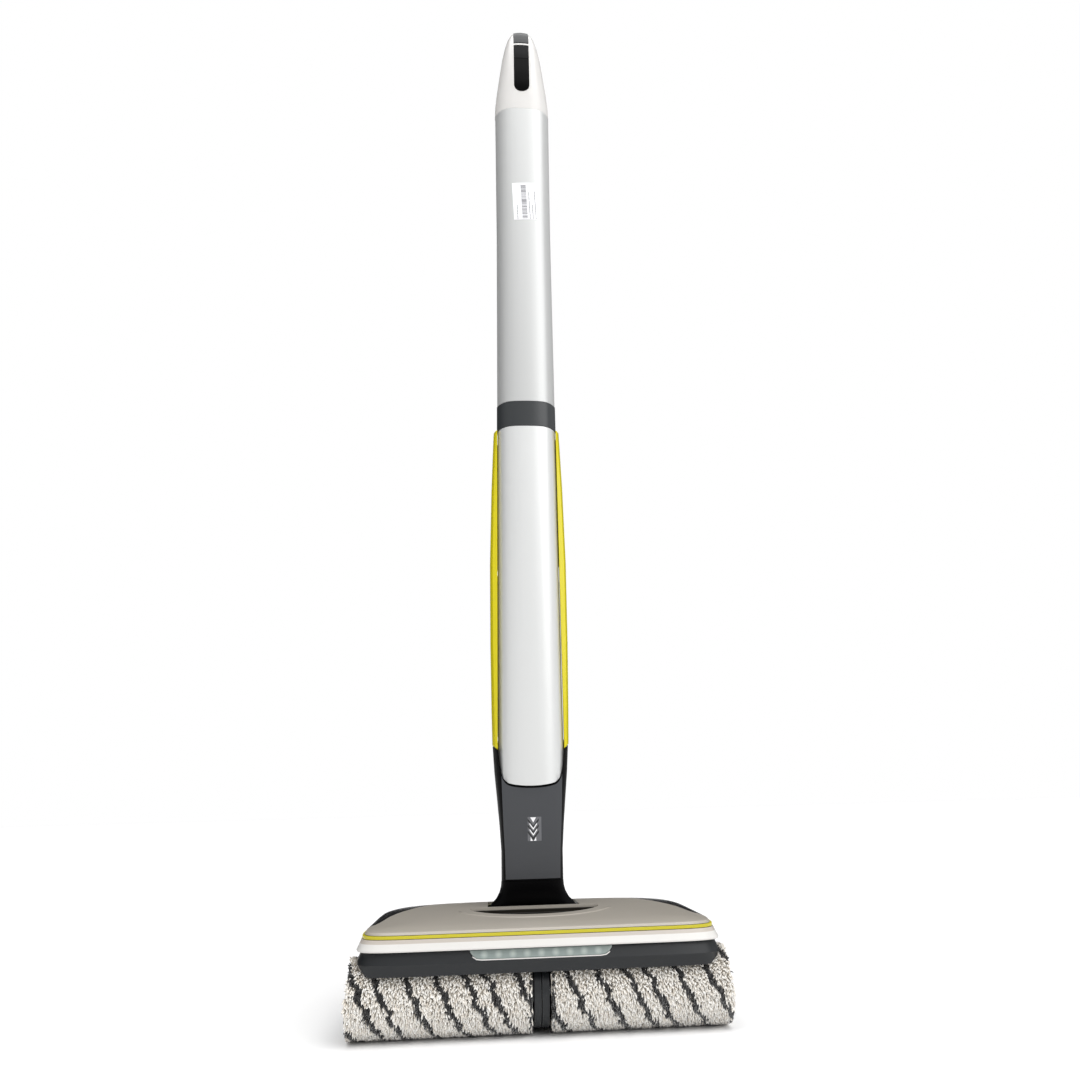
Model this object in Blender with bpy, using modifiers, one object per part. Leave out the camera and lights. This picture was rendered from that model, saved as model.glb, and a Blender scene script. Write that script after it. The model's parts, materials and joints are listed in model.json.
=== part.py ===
"""Cordless wet floor scrubber: a stick that stands by itself on a head with four powered rollers.

Lengths are in millimetres in this script, and MM turns them to metres when a mesh is made.
X is the width, the front faces -Y and +Z is up. The origin is on the floor, under the middle of the head.
"""

import math

import bmesh
import bpy
from mathutils import Matrix, Vector

MM = 0.001

# Driving dimensions
HEAD_HALF_WIDTH = 150.0
HEAD_HALF_DEPTH = 117.0
HEAD_FRONT_POWER = 12.0   # exponents of the head's plan outline, which is squarer in front than behind
HEAD_REAR_POWER = 3.6
ROLLER_RADIUS = 30.0
ROLLER_Y = 85.0           # both roller axles lie this far from the middle
ROLLER_INNER_X = 9.0
ROLLER_OUTER_X = 154.0
CORE_RADIUS = 20.3
ROLLER_SIDES = 24         # a flat side faces the floor
BUMPER_BOTTOM = 48.0
BUMPER_TOP = 65.0
SKIRT_TOP = 73.9
TRIM_TOP = 76.6
COVER_TOP = 82.9
PIVOT_Y = 42.0
PIVOT_Z = 72.0
SWIVEL_Z = 104.0
NECK_TOP = 236.0
PANEL_BOTTOM = 191.0
PANEL_TOP = 585.0
COLLAR_TOP = 617.0
TUBE_TOP = 1058.0
STICK_FRONT = 13.0
BODY_BACK = 93.0
GAP = 0.3                 # kept between pieces that touch on the real object

# Gear train: module, pressure angle, tooth counts and proportions
MODULE = 2.0
PRESSURE = math.radians(25)
GEAR_TEETH = 17
PINION_TEETH = 9
ADDENDUM = 1.8
DEDENDUM = 2.3
BACKLASH = 0.25
GEAR_HALF_WIDTH = 3.0
GEARCASE_HALF_WIDTH = 6.2
GEARCASE_WALL = 2.0
GEARCASE_RADIUS = 21.5
GEARCASE_END_RADIUS = 26.0
PINION_CASE_RADIUS = 13.5
IDLER_PIN_RADIUS = 2.8
AXLE_RADIUS = 4.0
HEX_RADIUS = 5.2
AXLE_HALF_LENGTH = 112.0
GEAR_PITCH_RADIUS = MODULE * GEAR_TEETH / 2
PINION_PITCH_RADIUS = MODULE * PINION_TEETH / 2
GEAR_STEP = 2 * GEAR_PITCH_RADIUS
GEAR_YS = [-ROLLER_Y + GEAR_STEP * index for index in range(6)]
PINION_Y = GEAR_YS[2]
PINION_Z = ROLLER_RADIUS + GEAR_PITCH_RADIUS + PINION_PITCH_RADIUS
PINION_TURN = math.radians(20)   # puts a pinion tooth in the idler's gap

COLOURS = {
    "cover": ((0.47, 0.42, 0.38), 0.35, 0.0),
    "white": ((0.85, 0.85, 0.84), 0.35, 0.0),
    "yellow": ((0.72, 0.62, 0.02), 0.4, 0.0),
    "charcoal": ((0.045, 0.048, 0.052), 0.45, 0.0),
    "black": ((0.008, 0.008, 0.009), 0.4, 0.0),
    "black_gloss": ((0.004, 0.004, 0.004), 0.1, 0.0),
    "silver": ((0.6, 0.6, 0.6), 0.35, 0.3),
    "panel": ((0.72, 0.73, 0.73), 0.35, 0.0),
    "neck_grey": ((0.07, 0.075, 0.08), 0.45, 0.0),
    "button_grey": ((0.09, 0.1, 0.105), 0.5, 0.0),
    "pile": ((0.68, 0.64, 0.58), 0.95, 0.0),
    "lens": ((0.5, 0.56, 0.54), 0.2, 0.0),
    "board": ((0.02, 0.16, 0.06), 0.5, 0.0),
    "steel": ((0.55, 0.55, 0.56), 0.3, 1.0),
    "gear": ((0.75, 0.72, 0.62), 0.5, 0.0),
    "bronze": ((0.5, 0.3, 0.12), 0.4, 1.0),
    "tank": ((0.12, 0.13, 0.14), 0.2, 0.0),
    "rubber": ((0.02, 0.02, 0.02), 0.8, 0.0),
    "battery": ((0.03, 0.08, 0.3), 0.5, 0.0),
}


# ---------------------------------------------------------------- scene and materials

for old in list(bpy.data.objects):
    bpy.data.objects.remove(old, do_unlink=True)

PARTS = bpy.data.collections.new("floor_scrubber")
CUTTERS = bpy.data.collections.new("cutters")
bpy.context.scene.collection.children.link(PARTS)
bpy.context.scene.collection.children.link(CUTTERS)


def make_material(name):
    """A Principled BSDF with the finish's colour, roughness and metallic value."""
    colour, roughness, metallic = COLOURS[name]
    material = bpy.data.materials.new(name)
    material.use_nodes = True
    shader = material.node_tree.nodes["Principled BSDF"]
    shader.inputs["Base Color"].default_value = (*colour, 1.0)
    shader.inputs["Roughness"].default_value = roughness
    shader.inputs["Metallic"].default_value = metallic
    return material


MATERIALS = {name: make_material(name) for name in COLOURS}


# ---------------------------------------------------------------- shapes

def add_object(name, mesh, finish):
    """Put a mesh in the model, or with no finish among the cutters."""
    obj = bpy.data.objects.new(name, mesh)
    if finish is None:
        CUTTERS.objects.link(obj)
        obj.hide_render = True
        obj.display_type = "WIRE"
        return obj
    PARTS.objects.link(obj)
    mesh.materials.append(MATERIALS[finish])
    mesh.shade_smooth()
    mesh.set_sharp_from_angle(angle=math.radians(35))
    return obj


def from_bmesh(name, bm, finish):
    """Point the faces out, scale to metres, and make the object."""
    bmesh.ops.recalc_face_normals(bm, faces=bm.faces)
    if bm.calc_volume(signed=True) < 0:
        bmesh.ops.reverse_faces(bm, faces=bm.faces)
    bm.transform(Matrix.Scale(MM, 4))
    mesh = bpy.data.meshes.new(name)
    bm.to_mesh(mesh)
    bm.free()
    return add_object(name, mesh, finish)


def block(name, low, high, finish, bevel=0.0):
    """A box between two corners, with rounded edges where bevel is set."""
    bm = bmesh.new()
    size = Vector(high) - Vector(low)
    middle = (Vector(high) + Vector(low)) / 2
    bmesh.ops.create_cube(bm, size=1.0)
    bm.transform(Matrix.Translation(middle) @ Matrix.Diagonal((*size, 1.0)))
    obj = from_bmesh(name, bm, finish)
    if bevel:
        round_edges(obj, bevel)
    return obj


def round_edges(obj, width, segments=2):
    """Bevel the edges sharper than 40 degrees."""
    bevel = obj.modifiers.new("rounded edges", "BEVEL")
    bevel.width = width * MM
    bevel.segments = segments
    bevel.limit_method = "ANGLE"
    bevel.angle_limit = math.radians(40)


def rod(name, start, end, radius, finish, sides=24, flat_down=False):
    """A cylinder, or with few sides a prism, between two points."""
    bm = bmesh.new()
    along = Vector(end) - Vector(start)
    bmesh.ops.create_cone(bm, cap_ends=True, segments=sides, radius1=radius, radius2=radius, depth=along.length)
    if flat_down:
        bm.transform(Matrix.Rotation(math.pi / sides, 4, "Z"))
    turn = along.to_track_quat("Z", "Y").to_matrix().to_4x4()
    middle = (Vector(start) + Vector(end)) / 2
    bm.transform(Matrix.Translation(middle) @ turn)
    return from_bmesh(name, bm, finish)


def turned(name, profile, centre, finish, steps=32, along="X"):
    """Turn a profile of (radius, height) about an axis through centre. Its outer side runs top to bottom."""
    mesh = bpy.data.meshes.new(name)
    points = [(radius * MM, 0.0, height * MM) for radius, height in profile]
    edges = [(i, i + 1) for i in range(len(points) - 1)]
    if profile[0][0] > 0:
        edges.append((len(points) - 1, 0))
    mesh.from_pydata(points, edges, [])
    obj = add_object(name, mesh, finish)
    obj.location = Vector(centre) * MM
    if along == "X":
        obj.rotation_euler = (0.0, math.pi / 2, 0.0)
    screw = obj.modifiers.new("turn", "SCREW")
    screw.steps = screw.render_steps = steps
    screw.use_merge_vertices = True
    screw.merge_threshold = 1e-6
    return obj


def loft(name, rings, finish, ring_of_rings=False):
    """Join rings of equally many points: capped at both ends, or closed on itself as a frame is."""
    bm = bmesh.new()
    rows = [[bm.verts.new(point) for point in ring] for ring in rings]
    pairs = list(zip(rows, rows[1:]))
    if ring_of_rings:
        pairs.append((rows[-1], rows[0]))
    else:
        bm.faces.new(rows[0])
        bm.faces.new(rows[-1])
    for near, far in pairs:
        for i in range(len(near)):
            j = (i + 1) % len(near)
            bm.faces.new((near[i], near[j], far[j], far[i]))
    return from_bmesh(name, bm, finish)


def plate(name, outlines, low, high, plane, finish):
    """Fill a flat outline, with any further outlines as holes, and extrude it from low to high.

    plane "Z" reads the outline as X and Y, "X" as Y and Z, and "Y" as X and Z.
    """
    curve = bpy.data.curves.new(name, "CURVE")
    curve.dimensions = "2D"
    curve.fill_mode = "BOTH"
    curve.extrude = (high - low) / 2
    for outline in outlines:
        spline = curve.splines.new("POLY")
        spline.points.add(len(outline) - 1)
        for point, (u, v) in zip(spline.points, outline):
            point.co = (u, v, 0.0, 1.0)
        spline.use_cyclic_u = True
    guide = bpy.data.objects.new(name, curve)
    bpy.context.scene.collection.objects.link(guide)
    graph = bpy.context.evaluated_depsgraph_get()
    mesh = bpy.data.meshes.new_from_object(guide.evaluated_get(graph))
    bpy.data.objects.remove(guide)
    bpy.data.curves.remove(curve)
    bm = bmesh.new()
    bm.from_mesh(mesh)
    bpy.data.meshes.remove(mesh)
    bmesh.ops.remove_doubles(bm, verts=bm.verts, dist=1e-4)
    middle = (low + high) / 2
    turns = {
        "Z": Matrix(((1, 0, 0, 0), (0, 1, 0, 0), (0, 0, 1, middle), (0, 0, 0, 1))),
        "X": Matrix(((0, 0, 1, middle), (1, 0, 0, 0), (0, 1, 0, 0), (0, 0, 0, 1))),
        "Y": Matrix(((1, 0, 0, 0), (0, 0, -1, middle), (0, 1, 0, 0), (0, 0, 0, 1))),
    }
    bm.transform(turns[plane])
    return from_bmesh(name, bm, finish)


def boolean(obj, tool, operation):
    """Cut obj with the tool, or join the tool to it."""
    step = obj.modifiers.new(f"{operation.lower()} {tool.name}", "BOOLEAN")
    step.operation = operation
    step.object = tool
    step.solver = "EXACT"


def cut(obj, *tools):
    for tool in tools:
        boolean(obj, tool, "DIFFERENCE")


def join(obj, *tools):
    for tool in tools:
        boolean(obj, tool, "UNION")


def arc(centre, radius, start_deg, end_deg, count):
    """Points on an arc, both ends included."""
    points = []
    for i in range(count):
        angle = math.radians(start_deg + (end_deg - start_deg) * i / (count - 1))
        points.append((centre[0] + radius * math.cos(angle), centre[1] + radius * math.sin(angle)))
    return points


def between(pairs, value):
    """Straight-line reading of a list of (position, value) pairs."""
    for (x0, y0), (x1, y1) in zip(pairs, pairs[1:]):
        if value <= x1:
            share = max(0.0, (value - x0) / (x1 - x0))
            return y0 + (y1 - y0) * share
    return pairs[-1][1]


def superellipse(half_x, half_y, power, count, centre=(0.0, 0.0)):
    """A rounded rectangle: |x/a|^n + |y/b|^n = 1, with its points closest in the corners."""
    points = []
    for i in range(count):
        angle = 2 * math.pi * i / count
        c = math.cos(angle)
        s = math.sin(angle)
        x = half_x * math.copysign(abs(c) ** (2 / power), c)
        y = half_y * math.copysign(abs(s) ** (2 / power), s)
        points.append((centre[0] + x, centre[1] + y))
    return points


# ---------------------------------------------------------------- joint empties

PIVOTS = {}


def pivot(name, location, parent=None):
    """An empty on a joint's axis, which carries the pieces that move there."""
    empty = bpy.data.objects.new(name, None)
    PARTS.objects.link(empty)
    empty.empty_display_size = 0.01
    empty.location = Vector(location) * MM
    PIVOTS[name] = empty
    if parent:
        carry(parent, empty)


def carry(name, *pieces):
    """Parent pieces to an empty and leave them where they are."""
    empty = PIVOTS[name]
    for piece in pieces:
        piece.parent = empty
        piece.matrix_parent_inverse = Matrix.Translation(-empty.location)


# ---------------------------------------------------------------- head: frame and covers

def head_outline(inset, count=48):
    """The head's plan outline, drawn in by the inset."""
    front = superellipse(HEAD_HALF_WIDTH - inset, HEAD_HALF_DEPTH - inset, HEAD_FRONT_POWER, count)
    rear = superellipse(HEAD_HALF_WIDTH - inset, HEAD_HALF_DEPTH - inset, HEAD_REAR_POWER, count)
    return [behind if behind[1] > 0 else ahead for ahead, behind in zip(front, rear)]


def band(name, rows, finish, count=48):
    """A closed profile of (inset, height) carried round the head's plan outline."""
    rings = []
    for k in range(count):
        ring = []
        for inset, height in rows:
            x, y = head_outline(inset, count)[k]
            ring.append((x, y, height))
        rings.append(ring)
    return loft(name, rings, finish, ring_of_rings=True)


def front_y(x, inset):
    """Where the head's front outline lies at a given x."""
    a = HEAD_HALF_WIDTH - inset
    b = HEAD_HALF_DEPTH - inset
    return -b * (1 - (abs(x) / a) ** HEAD_FRONT_POWER) ** (1 / HEAD_FRONT_POWER)


def bumper_inset(height):
    """The sloping upper face of the bumper."""
    return between([(56.5, 0.3), (BUMPER_TOP, 3.5)], height)


def lens_body(name, finish, grow, outer, inner):
    """The light window: a strip of the bumper's sloping face with its lower corners cut away."""
    stations = [(57.0, 63.6), (54.5, 60.8), (51.5, 59.0), (47.0, 58.5)]
    half = [(x + grow, z - grow) for x, z in stations]
    walk = [(-x, z) for x, z in half] + [(x, half[-1][1]) for x in (-24, 0, 24)] + half[::-1]
    top = BUMPER_TOP - 0.3 + (3 * grow if grow else 0)
    rings = []
    for x, z in walk:
        ring = []
        for inset, height in ((outer, z), (outer, top), (inner, top), (inner, z)):
            ring.append((x, front_y(x, bumper_inset(height) + inset), height))
        rings.append(ring)
    return loft(name, rings, finish)


def make_bumper():
    """The charcoal ring: a sloping face, an edge line and a lip, arched over each roller's end."""
    rows = [(3.5, BUMPER_TOP), (0.3, 56.5), (1.0, 55.0), (1.6, BUMPER_BOTTOM),
            (4.6, BUMPER_BOTTOM), (4.6, 56.0), (7.5, BUMPER_TOP)]
    ring = band("bumper_ring", rows, "charcoal")
    arch_radius = ROLLER_RADIUS + 1.5
    for side in (-1, 1):
        y = side * ROLLER_Y
        arch = rod(f"arch_{side}", (-200, y, ROLLER_RADIUS), (200, y, ROLLER_RADIUS), arch_radius, None, 48)
        cut(ring, arch)
    cut(ring, lens_body("lens_window_cut", None, 0.3, -4.0, 8.0))
    lens_body("light_lens", "lens", 0.0, 0.2, 2.2)
    block("light_board", (-48, -111.2, 58.9), (48, -109.7, 64.2), "board")


def make_chassis():
    """The black plate that everything hangs from, with pivot cheeks, gearcase saddles and two rear fins."""
    motor_hole = [(-8.5, -38), (82, -38), (82, 2), (-8.5, 2)]
    yoke_hole = [(-43.2, 20), (43.2, 20), (43.2, 64), (-43.2, 64)]
    chassis = plate("head_chassis", [head_outline(8.0), motor_hole, yoke_hole], 61.5, 64.0, "Z", "black")
    for side in (-1, 1):
        inner = side * 43.6
        outer = side * 50.0
        cheek = block(f"cheek_{side}", (min(inner, outer), 33, 62.5), (max(inner, outer), 51, 78.6), None)
        saddle_y = side * 70.0
        saddle = block(f"saddle_{side}", (-5.8, saddle_y - 7, 51.9), (5.8, saddle_y + 7, 62.5), None)
        fin = block(f"fin_{side}", (min(side * 35, side * 50), 98.4, 62.5), (max(side * 35, side * 50), 100.4, 77), None)
        join(chassis, cheek, saddle, fin)
    cut(chassis, rod("cheek_bore", (-60, PIVOT_Y, PIVOT_Z), (60, PIVOT_Y, PIVOT_Z), 3.7, None, 16))
    for side, word in ((-1, "left"), (1, "right")):
        rod(f"pivot_pin_{word}", (side * 34, PIVOT_Y, PIVOT_Z), (side * 51.5, PIVOT_Y, PIVOT_Z), 3.3, "steel", 16)


def crescent(grow):
    """The release pedal's outline: a flat rear edge and a front edge bulging forward."""
    half_length = 60.0 + grow
    front = [(half_length * math.cos(a), 9 - grow + 55 * math.sin(a))
             for a in [math.radians(-180 + 10 * i) for i in range(1, 18)]]
    return [(-half_length, 9 + grow)] + front + [(half_length, 9 + grow)]


def corner_outline(side, shift):
    """The dark corner panel's region of the cover: an arc from the side edge to the rear edge."""
    inner = [(98, 125), (105, 85), (113, 60), (121.5, 36), (128, 17.5), (133, -6), (136.5, -45), (139, -62),
             (158, -75)]
    region = [(x - shift, y - shift) for x, y in inner] + [(170, -75 - shift), (170, 125)]
    return [(side * x, y) for x, y in region]


def dome(name, finish):
    """The cover's nearly flat dome: from the underside's middle out to the rim and back over the top."""
    under = [(100.0, 80.6), (38.0, 79.4), (12.0, 77.9), (7.6, TRIM_TOP + 0.35)]
    top = [(5.4, TRIM_TOP + 0.35), (6.6, 78.9), (10.0, 79.8), (38.0, 81.7), (100.0, COVER_TOP)]
    rings = [[(x, y, height) for x, y in head_outline(inset)] for inset, height in under + top]
    return loft(name, rings, finish)


def make_cover():
    """Skirt, yellow trim and top cover, the cover's corner panels and the foot pedal in its recess."""
    skirt = [(0.3, 65.4), (0.0, 66.4), (2.0, 70.6), (3.4, SKIRT_TOP), (7.6, SKIRT_TOP), (6.2, 70.0), (3.2, 65.4)]
    band("cover_skirt", skirt, "white")
    trim = band("trim_ring", [(4.0, 74.2), (4.0, TRIM_TOP), (8.6, TRIM_TOP), (8.6, 74.2)], "yellow")
    cut(trim, block("trim_notch", (-34.5, 90, 73), (34.5, 140, 79), None))
    cover = dome("top_cover", "cover")
    notch = block("yoke_notch", (-44, 21, 60), (44, 97, 100), None)
    rear_notch = block("yoke_rear_notch", (-34.5, 90, 60), (34.5, 140, 100), None)
    recess = plate("pedal_recess", [crescent(0.5)], 70, 100, "Z", None)
    cut(cover, notch, rear_notch, recess)
    for side, word in ((-1, "left"), (1, "right")):
        cut(cover, plate(f"corner_cut_{word}", [corner_outline(side, 0.3)], 60, 100, "Z", None))
        panel = dome(f"corner_panel_{word}", "black_gloss")
        boolean(panel, plate(f"corner_keep_{word}", [corner_outline(side, 0.0)], 60, 100, "Z", None), "INTERSECT")
    pedal = plate("release_pedal", [crescent(-0.2)], 75.2, 78.0, "Z", "charcoal")
    join(pedal, block("pedal_upstand", (-57, 6.0, 76), (57, 8.5, 81.2), None))
    pivot("pedal_travel", (0, -15, 76))
    carry("pedal_travel", pedal)


# ---------------------------------------------------------------- head: drive

def involute(angle):
    return math.tan(angle) - angle


def gear_outline(teeth, y, z, turn=0.0):
    """An involute gear in the Y-Z plane, a tooth's middle at the turn angle from +Y."""
    pitch = MODULE * teeth / 2
    base = pitch * math.cos(PRESSURE)
    tip = pitch + ADDENDUM
    root = pitch - DEDENDUM
    half = (math.pi * MODULE / 2 - BACKLASH) / (2 * pitch) + involute(PRESSURE)
    flank = [(root, half)]
    for share in (0.5, 1.0):
        radius = base + (tip - base) * share
        flank.append((radius, half - involute(math.acos(base / radius))))
    outline = []
    for tooth in range(teeth):
        middle = turn + 2 * math.pi * tooth / teeth
        tooth_side = [(radius, middle - angle) for radius, angle in flank]
        tooth_side += [(radius, middle + angle) for radius, angle in reversed(flank)]
        outline += [(y + radius * math.cos(a), z + radius * math.sin(a)) for radius, a in tooth_side]
    return outline


def gearcase_outline(wall):
    """A long case round the six gears, larger at both ends, with a bump round the pinion, drawn in by the wall."""
    radius = GEARCASE_RADIUS - wall
    end = GEARCASE_END_RADIUS - wall
    bump = PINION_CASE_RADIUS - wall
    top = ROLLER_RADIUS + radius
    bottom = ROLLER_RADIUS - radius
    outline = [(-79, top)] + arc((-ROLLER_Y, ROLLER_RADIUS), end, 122, 270, 13) + [(-62, bottom)]
    outline += [(62, bottom)] + arc((ROLLER_Y, ROLLER_RADIUS), end, -90, 58, 13) + [(79, top)]
    outline += [(PINION_Y + bump, top)]
    outline += arc((PINION_Y, PINION_Z), bump, 0, 180, 9)
    outline += [(PINION_Y - bump, top)]
    return outline


def make_gearcase():
    """Two halves that meet in the middle plane; the right one carries the idlers' pins."""
    for side, word in ((-1, "left"), (1, "right")):
        outer = side * GEARCASE_HALF_WIDTH
        low, high = sorted((side * 0.15, outer))
        half = plate(f"gearcase_{word}", [gearcase_outline(0)], low, high, "X", "charcoal")
        low, high = sorted((side * -1.0, side * (GEARCASE_HALF_WIDTH - 2.5)))
        cut(half, plate(f"gearcase_room_{word}", [gearcase_outline(GEARCASE_WALL)], low, high, "X", None))
        for y in (-ROLLER_Y, ROLLER_Y):
            cut(half, rod(f"bush_seat_{word}_{y:.0f}", (side * 3, y, ROLLER_RADIUS), (side * 8, y, ROLLER_RADIUS),
                          6.8, None, 16))
        if side > 0:
            cut(half, rod("pinion_shaft_hole", (3, PINION_Y, PINION_Z), (8, PINION_Y, PINION_Z), 3.2, None, 16))
            for index, y in enumerate(GEAR_YS[1:5]):
                join(half, rod(f"idler_pin_{index}", (-3.3, y, ROLLER_RADIUS), (4.5, y, ROLLER_RADIUS),
                               IDLER_PIN_RADIUS, None, 12))
        for y, row in ((-ROLLER_Y, "front"), (ROLLER_Y, "rear")):
            profile = [(6.5, 1.25), (6.5, -1.25), (4.3, -1.25), (4.3, 1.25)]
            turned(f"{row}_bush_{word}", profile, (side * 4.95, y, ROLLER_RADIUS), "bronze", 16)


def make_gears():
    """Axle gears, four idlers and the motor's pinion, all in mesh."""
    for index, y in enumerate(GEAR_YS):
        name = {0: "front_drive_gear", 5: "rear_drive_gear"}.get(index, f"idler_gear_{index}")
        bore = AXLE_RADIUS + GAP if index in (0, 5) else IDLER_PIN_RADIUS + GAP
        outline = gear_outline(GEAR_TEETH, y, ROLLER_RADIUS)
        hole = superellipse(bore, bore, 2, 14, (y, ROLLER_RADIUS))
        gear = plate(name, [outline, hole], -GEAR_HALF_WIDTH, GEAR_HALF_WIDTH, "X", "gear")
        if index in (0, 5):
            axle_name = "front_axle" if index == 0 else "rear_axle"
            pivot(f"{axle_name}_centre", (0, y, ROLLER_RADIUS))
            carry(f"{axle_name}_centre", gear, make_axle(axle_name, y))
        else:
            pivot(f"idler_{index}_centre", (0, y, ROLLER_RADIUS))
            carry(f"idler_{index}_centre", gear)
    pinion = plate("motor_pinion", [gear_outline(PINION_TEETH, PINION_Y, PINION_Z, PINION_TURN)],
                   -GEAR_HALF_WIDTH, GEAR_HALF_WIDTH, "X", "steel")
    join(pinion, rod("pinion_shaft", (2, PINION_Y, PINION_Z), (13, PINION_Y, PINION_Z), 2.4, None, 16))
    pivot("pinion_centre", (0, PINION_Y, PINION_Z))
    carry("pinion_centre", pinion)
    profile = [(0, 73), (8, 73), (8, 70), (13.3, 69), (13.3, 10), (10, 10), (10, 7), (3, 7), (3, 15), (0, 15)]
    turned("drive_motor", profile, (0, PINION_Y, PINION_Z), "steel", 20)


def make_axle(name, y):
    """A round steel shaft whose ends are hexagonal where they drive the rollers."""
    z = ROLLER_RADIUS
    shaft = rod(name, (-AXLE_HALF_LENGTH + 5, y, z), (AXLE_HALF_LENGTH - 5, y, z), AXLE_RADIUS, "steel", 20)
    for side in (-1, 1):
        join(shaft, rod(f"{name}_hex_{side}", (side * 7.2, y, z), (side * AXLE_HALF_LENGTH, y, z), HEX_RADIUS,
                        None, 6))
    return shaft


def make_roller(row, y, word, side):
    """One roller: a hollow core with two hexagonal sockets and a closed outer end, in a pile sleeve."""
    z = ROLLER_RADIUS
    axle = f"{row}_axle_centre"
    core = rod(f"roller_core_{row}_{word}", (side * (ROLLER_INNER_X - 1), y, z), (side * 148.5, y, z),
               CORE_RADIUS, "black", ROLLER_SIDES, True)
    socket = rod(f"socket_{row}_{word}", (side * 2, y, z), (side * 116, y, z), HEX_RADIUS + 0.4, None, 6)
    room = rod(f"core_room_{row}_{word}", (side * 16, y, z), (side * 86, y, z), CORE_RADIUS - 2.2, None, 16)
    end_room = rod(f"core_end_{row}_{word}", (side * 94, y, z), (side * 144.5, y, z), CORE_RADIUS - 2.2, None, 16)
    cut(core, socket, room, end_room)
    circumradius = ROLLER_RADIUS / math.cos(math.pi / ROLLER_SIDES)
    inner = CORE_RADIUS + GAP
    sleeve = rod(f"roller_pile_{row}_{word}", (side * ROLLER_INNER_X, y, z), (side * ROLLER_OUTER_X, y, z),
                 circumradius, "pile", ROLLER_SIDES, True)
    cut(sleeve, rod(f"pile_bore_{row}_{word}", (side * 2, y, z), (side * 170, y, z), inner, None, ROLLER_SIDES, True))
    pivot(f"roller_{row}_{word}_pull", (side * ROLLER_INNER_X, y, z), axle)
    carry(f"roller_{row}_{word}_pull", core, sleeve)


def make_dirty_tank():
    """A tray between the roller rows: a basin on each side of the gearcase, open at the top."""
    outline = superellipse(138, 51, 14, 24)
    tank = plate("dirty_tank", [outline], 5.0, 34.0, "Z", "tank")
    for side, word in ((-1, "left"), (1, "right")):
        basin = superellipse(62.5, 48.8, 12, 24, (side * 73.0, 0))
        cut(tank, plate(f"basin_{word}", [basin], 7.2, 50, "Z", None))
    cut(tank, block("gearcase_slot", (-7.4, -60, 7.2), (7.4, 60, 50), None))
    pivot("dirty_tank_drop", (0, 0, 5))
    carry("dirty_tank_drop", tank)


# ---------------------------------------------------------------- joint and neck

def section(half_width, front, back, z, power=4.0, count=24):
    """A rounded rectangular section of the stick at one height."""
    middle = (front + back) / 2
    return [(x, y, z) for x, y in superellipse(half_width, (back - front) / 2, power, count, (0, middle))]


def make_yoke():
    """A barrel that flares at its ends, with the column that carries the stick and the swivel spigot."""
    flare = [(17, 30.0), (14.5, 31.6), (10.8, 33.8), (8.0, 37.2), (6.8, 42.6)]
    right = [(radius, x) for radius, x in flare[::-1]]
    left = [(radius, -x) for radius, x in flare]
    barrel = turned("yoke", [(0, 42.6)] + right + left + [(0, -42.6)], (0, PIVOT_Y, PIVOT_Z), "black", 24)
    rows = [(29.0, 29.0, 55.0, PIVOT_Z), (43.1, 28.5, 55.5, 77.0), (43.1, 28.0, 56.0, 80.5), (40.0, 27.0, 57.0, 84.0),
            (35.8, 26.0, 58.0, 88.0), (32.6, 24.0, 60.0, 93.5), (31.0, 22.5, 61.5, 99.0), (30.6, 22.0, 62.0, SWIVEL_Z)]
    join(barrel, loft("yoke_column", [section(*row) for row in rows], None))
    join(barrel, rod("yoke_spigot", (0, PIVOT_Y, 100), (0, PIVOT_Y, 124), 14.0, None, 20))
    for side in (-1, 1):
        cut(barrel, rod(f"yoke_bore_{side}", (side * 32, PIVOT_Y, PIVOT_Z), (side * 60, PIVOT_Y, PIVOT_Z), 3.7,
                        None, 16))
    cut(barrel, rod("hose_way", (0, PIVOT_Y, 92), (0, PIVOT_Y, 130), 9.0, None, 14))
    pivot("stick_tilt", (0, PIVOT_Y, PIVOT_Z))
    carry("stick_tilt", barrel)
    pivot("stick_swivel", (0, PIVOT_Y, SWIVEL_Z), "stick_tilt")


NECK_ROWS = [(30.5, 22.0, 62.0, SWIVEL_Z + GAP), (30.6, 20.3, 63.0, 131.0), (32.4, 18.8, 67.0, 155.0),
             (34.6, 17.2, 73.0, 178.0), (37.4, 16.8, 80.0, 205.0), (39.6, 16.5, 87.0, NECK_TOP)]


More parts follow.
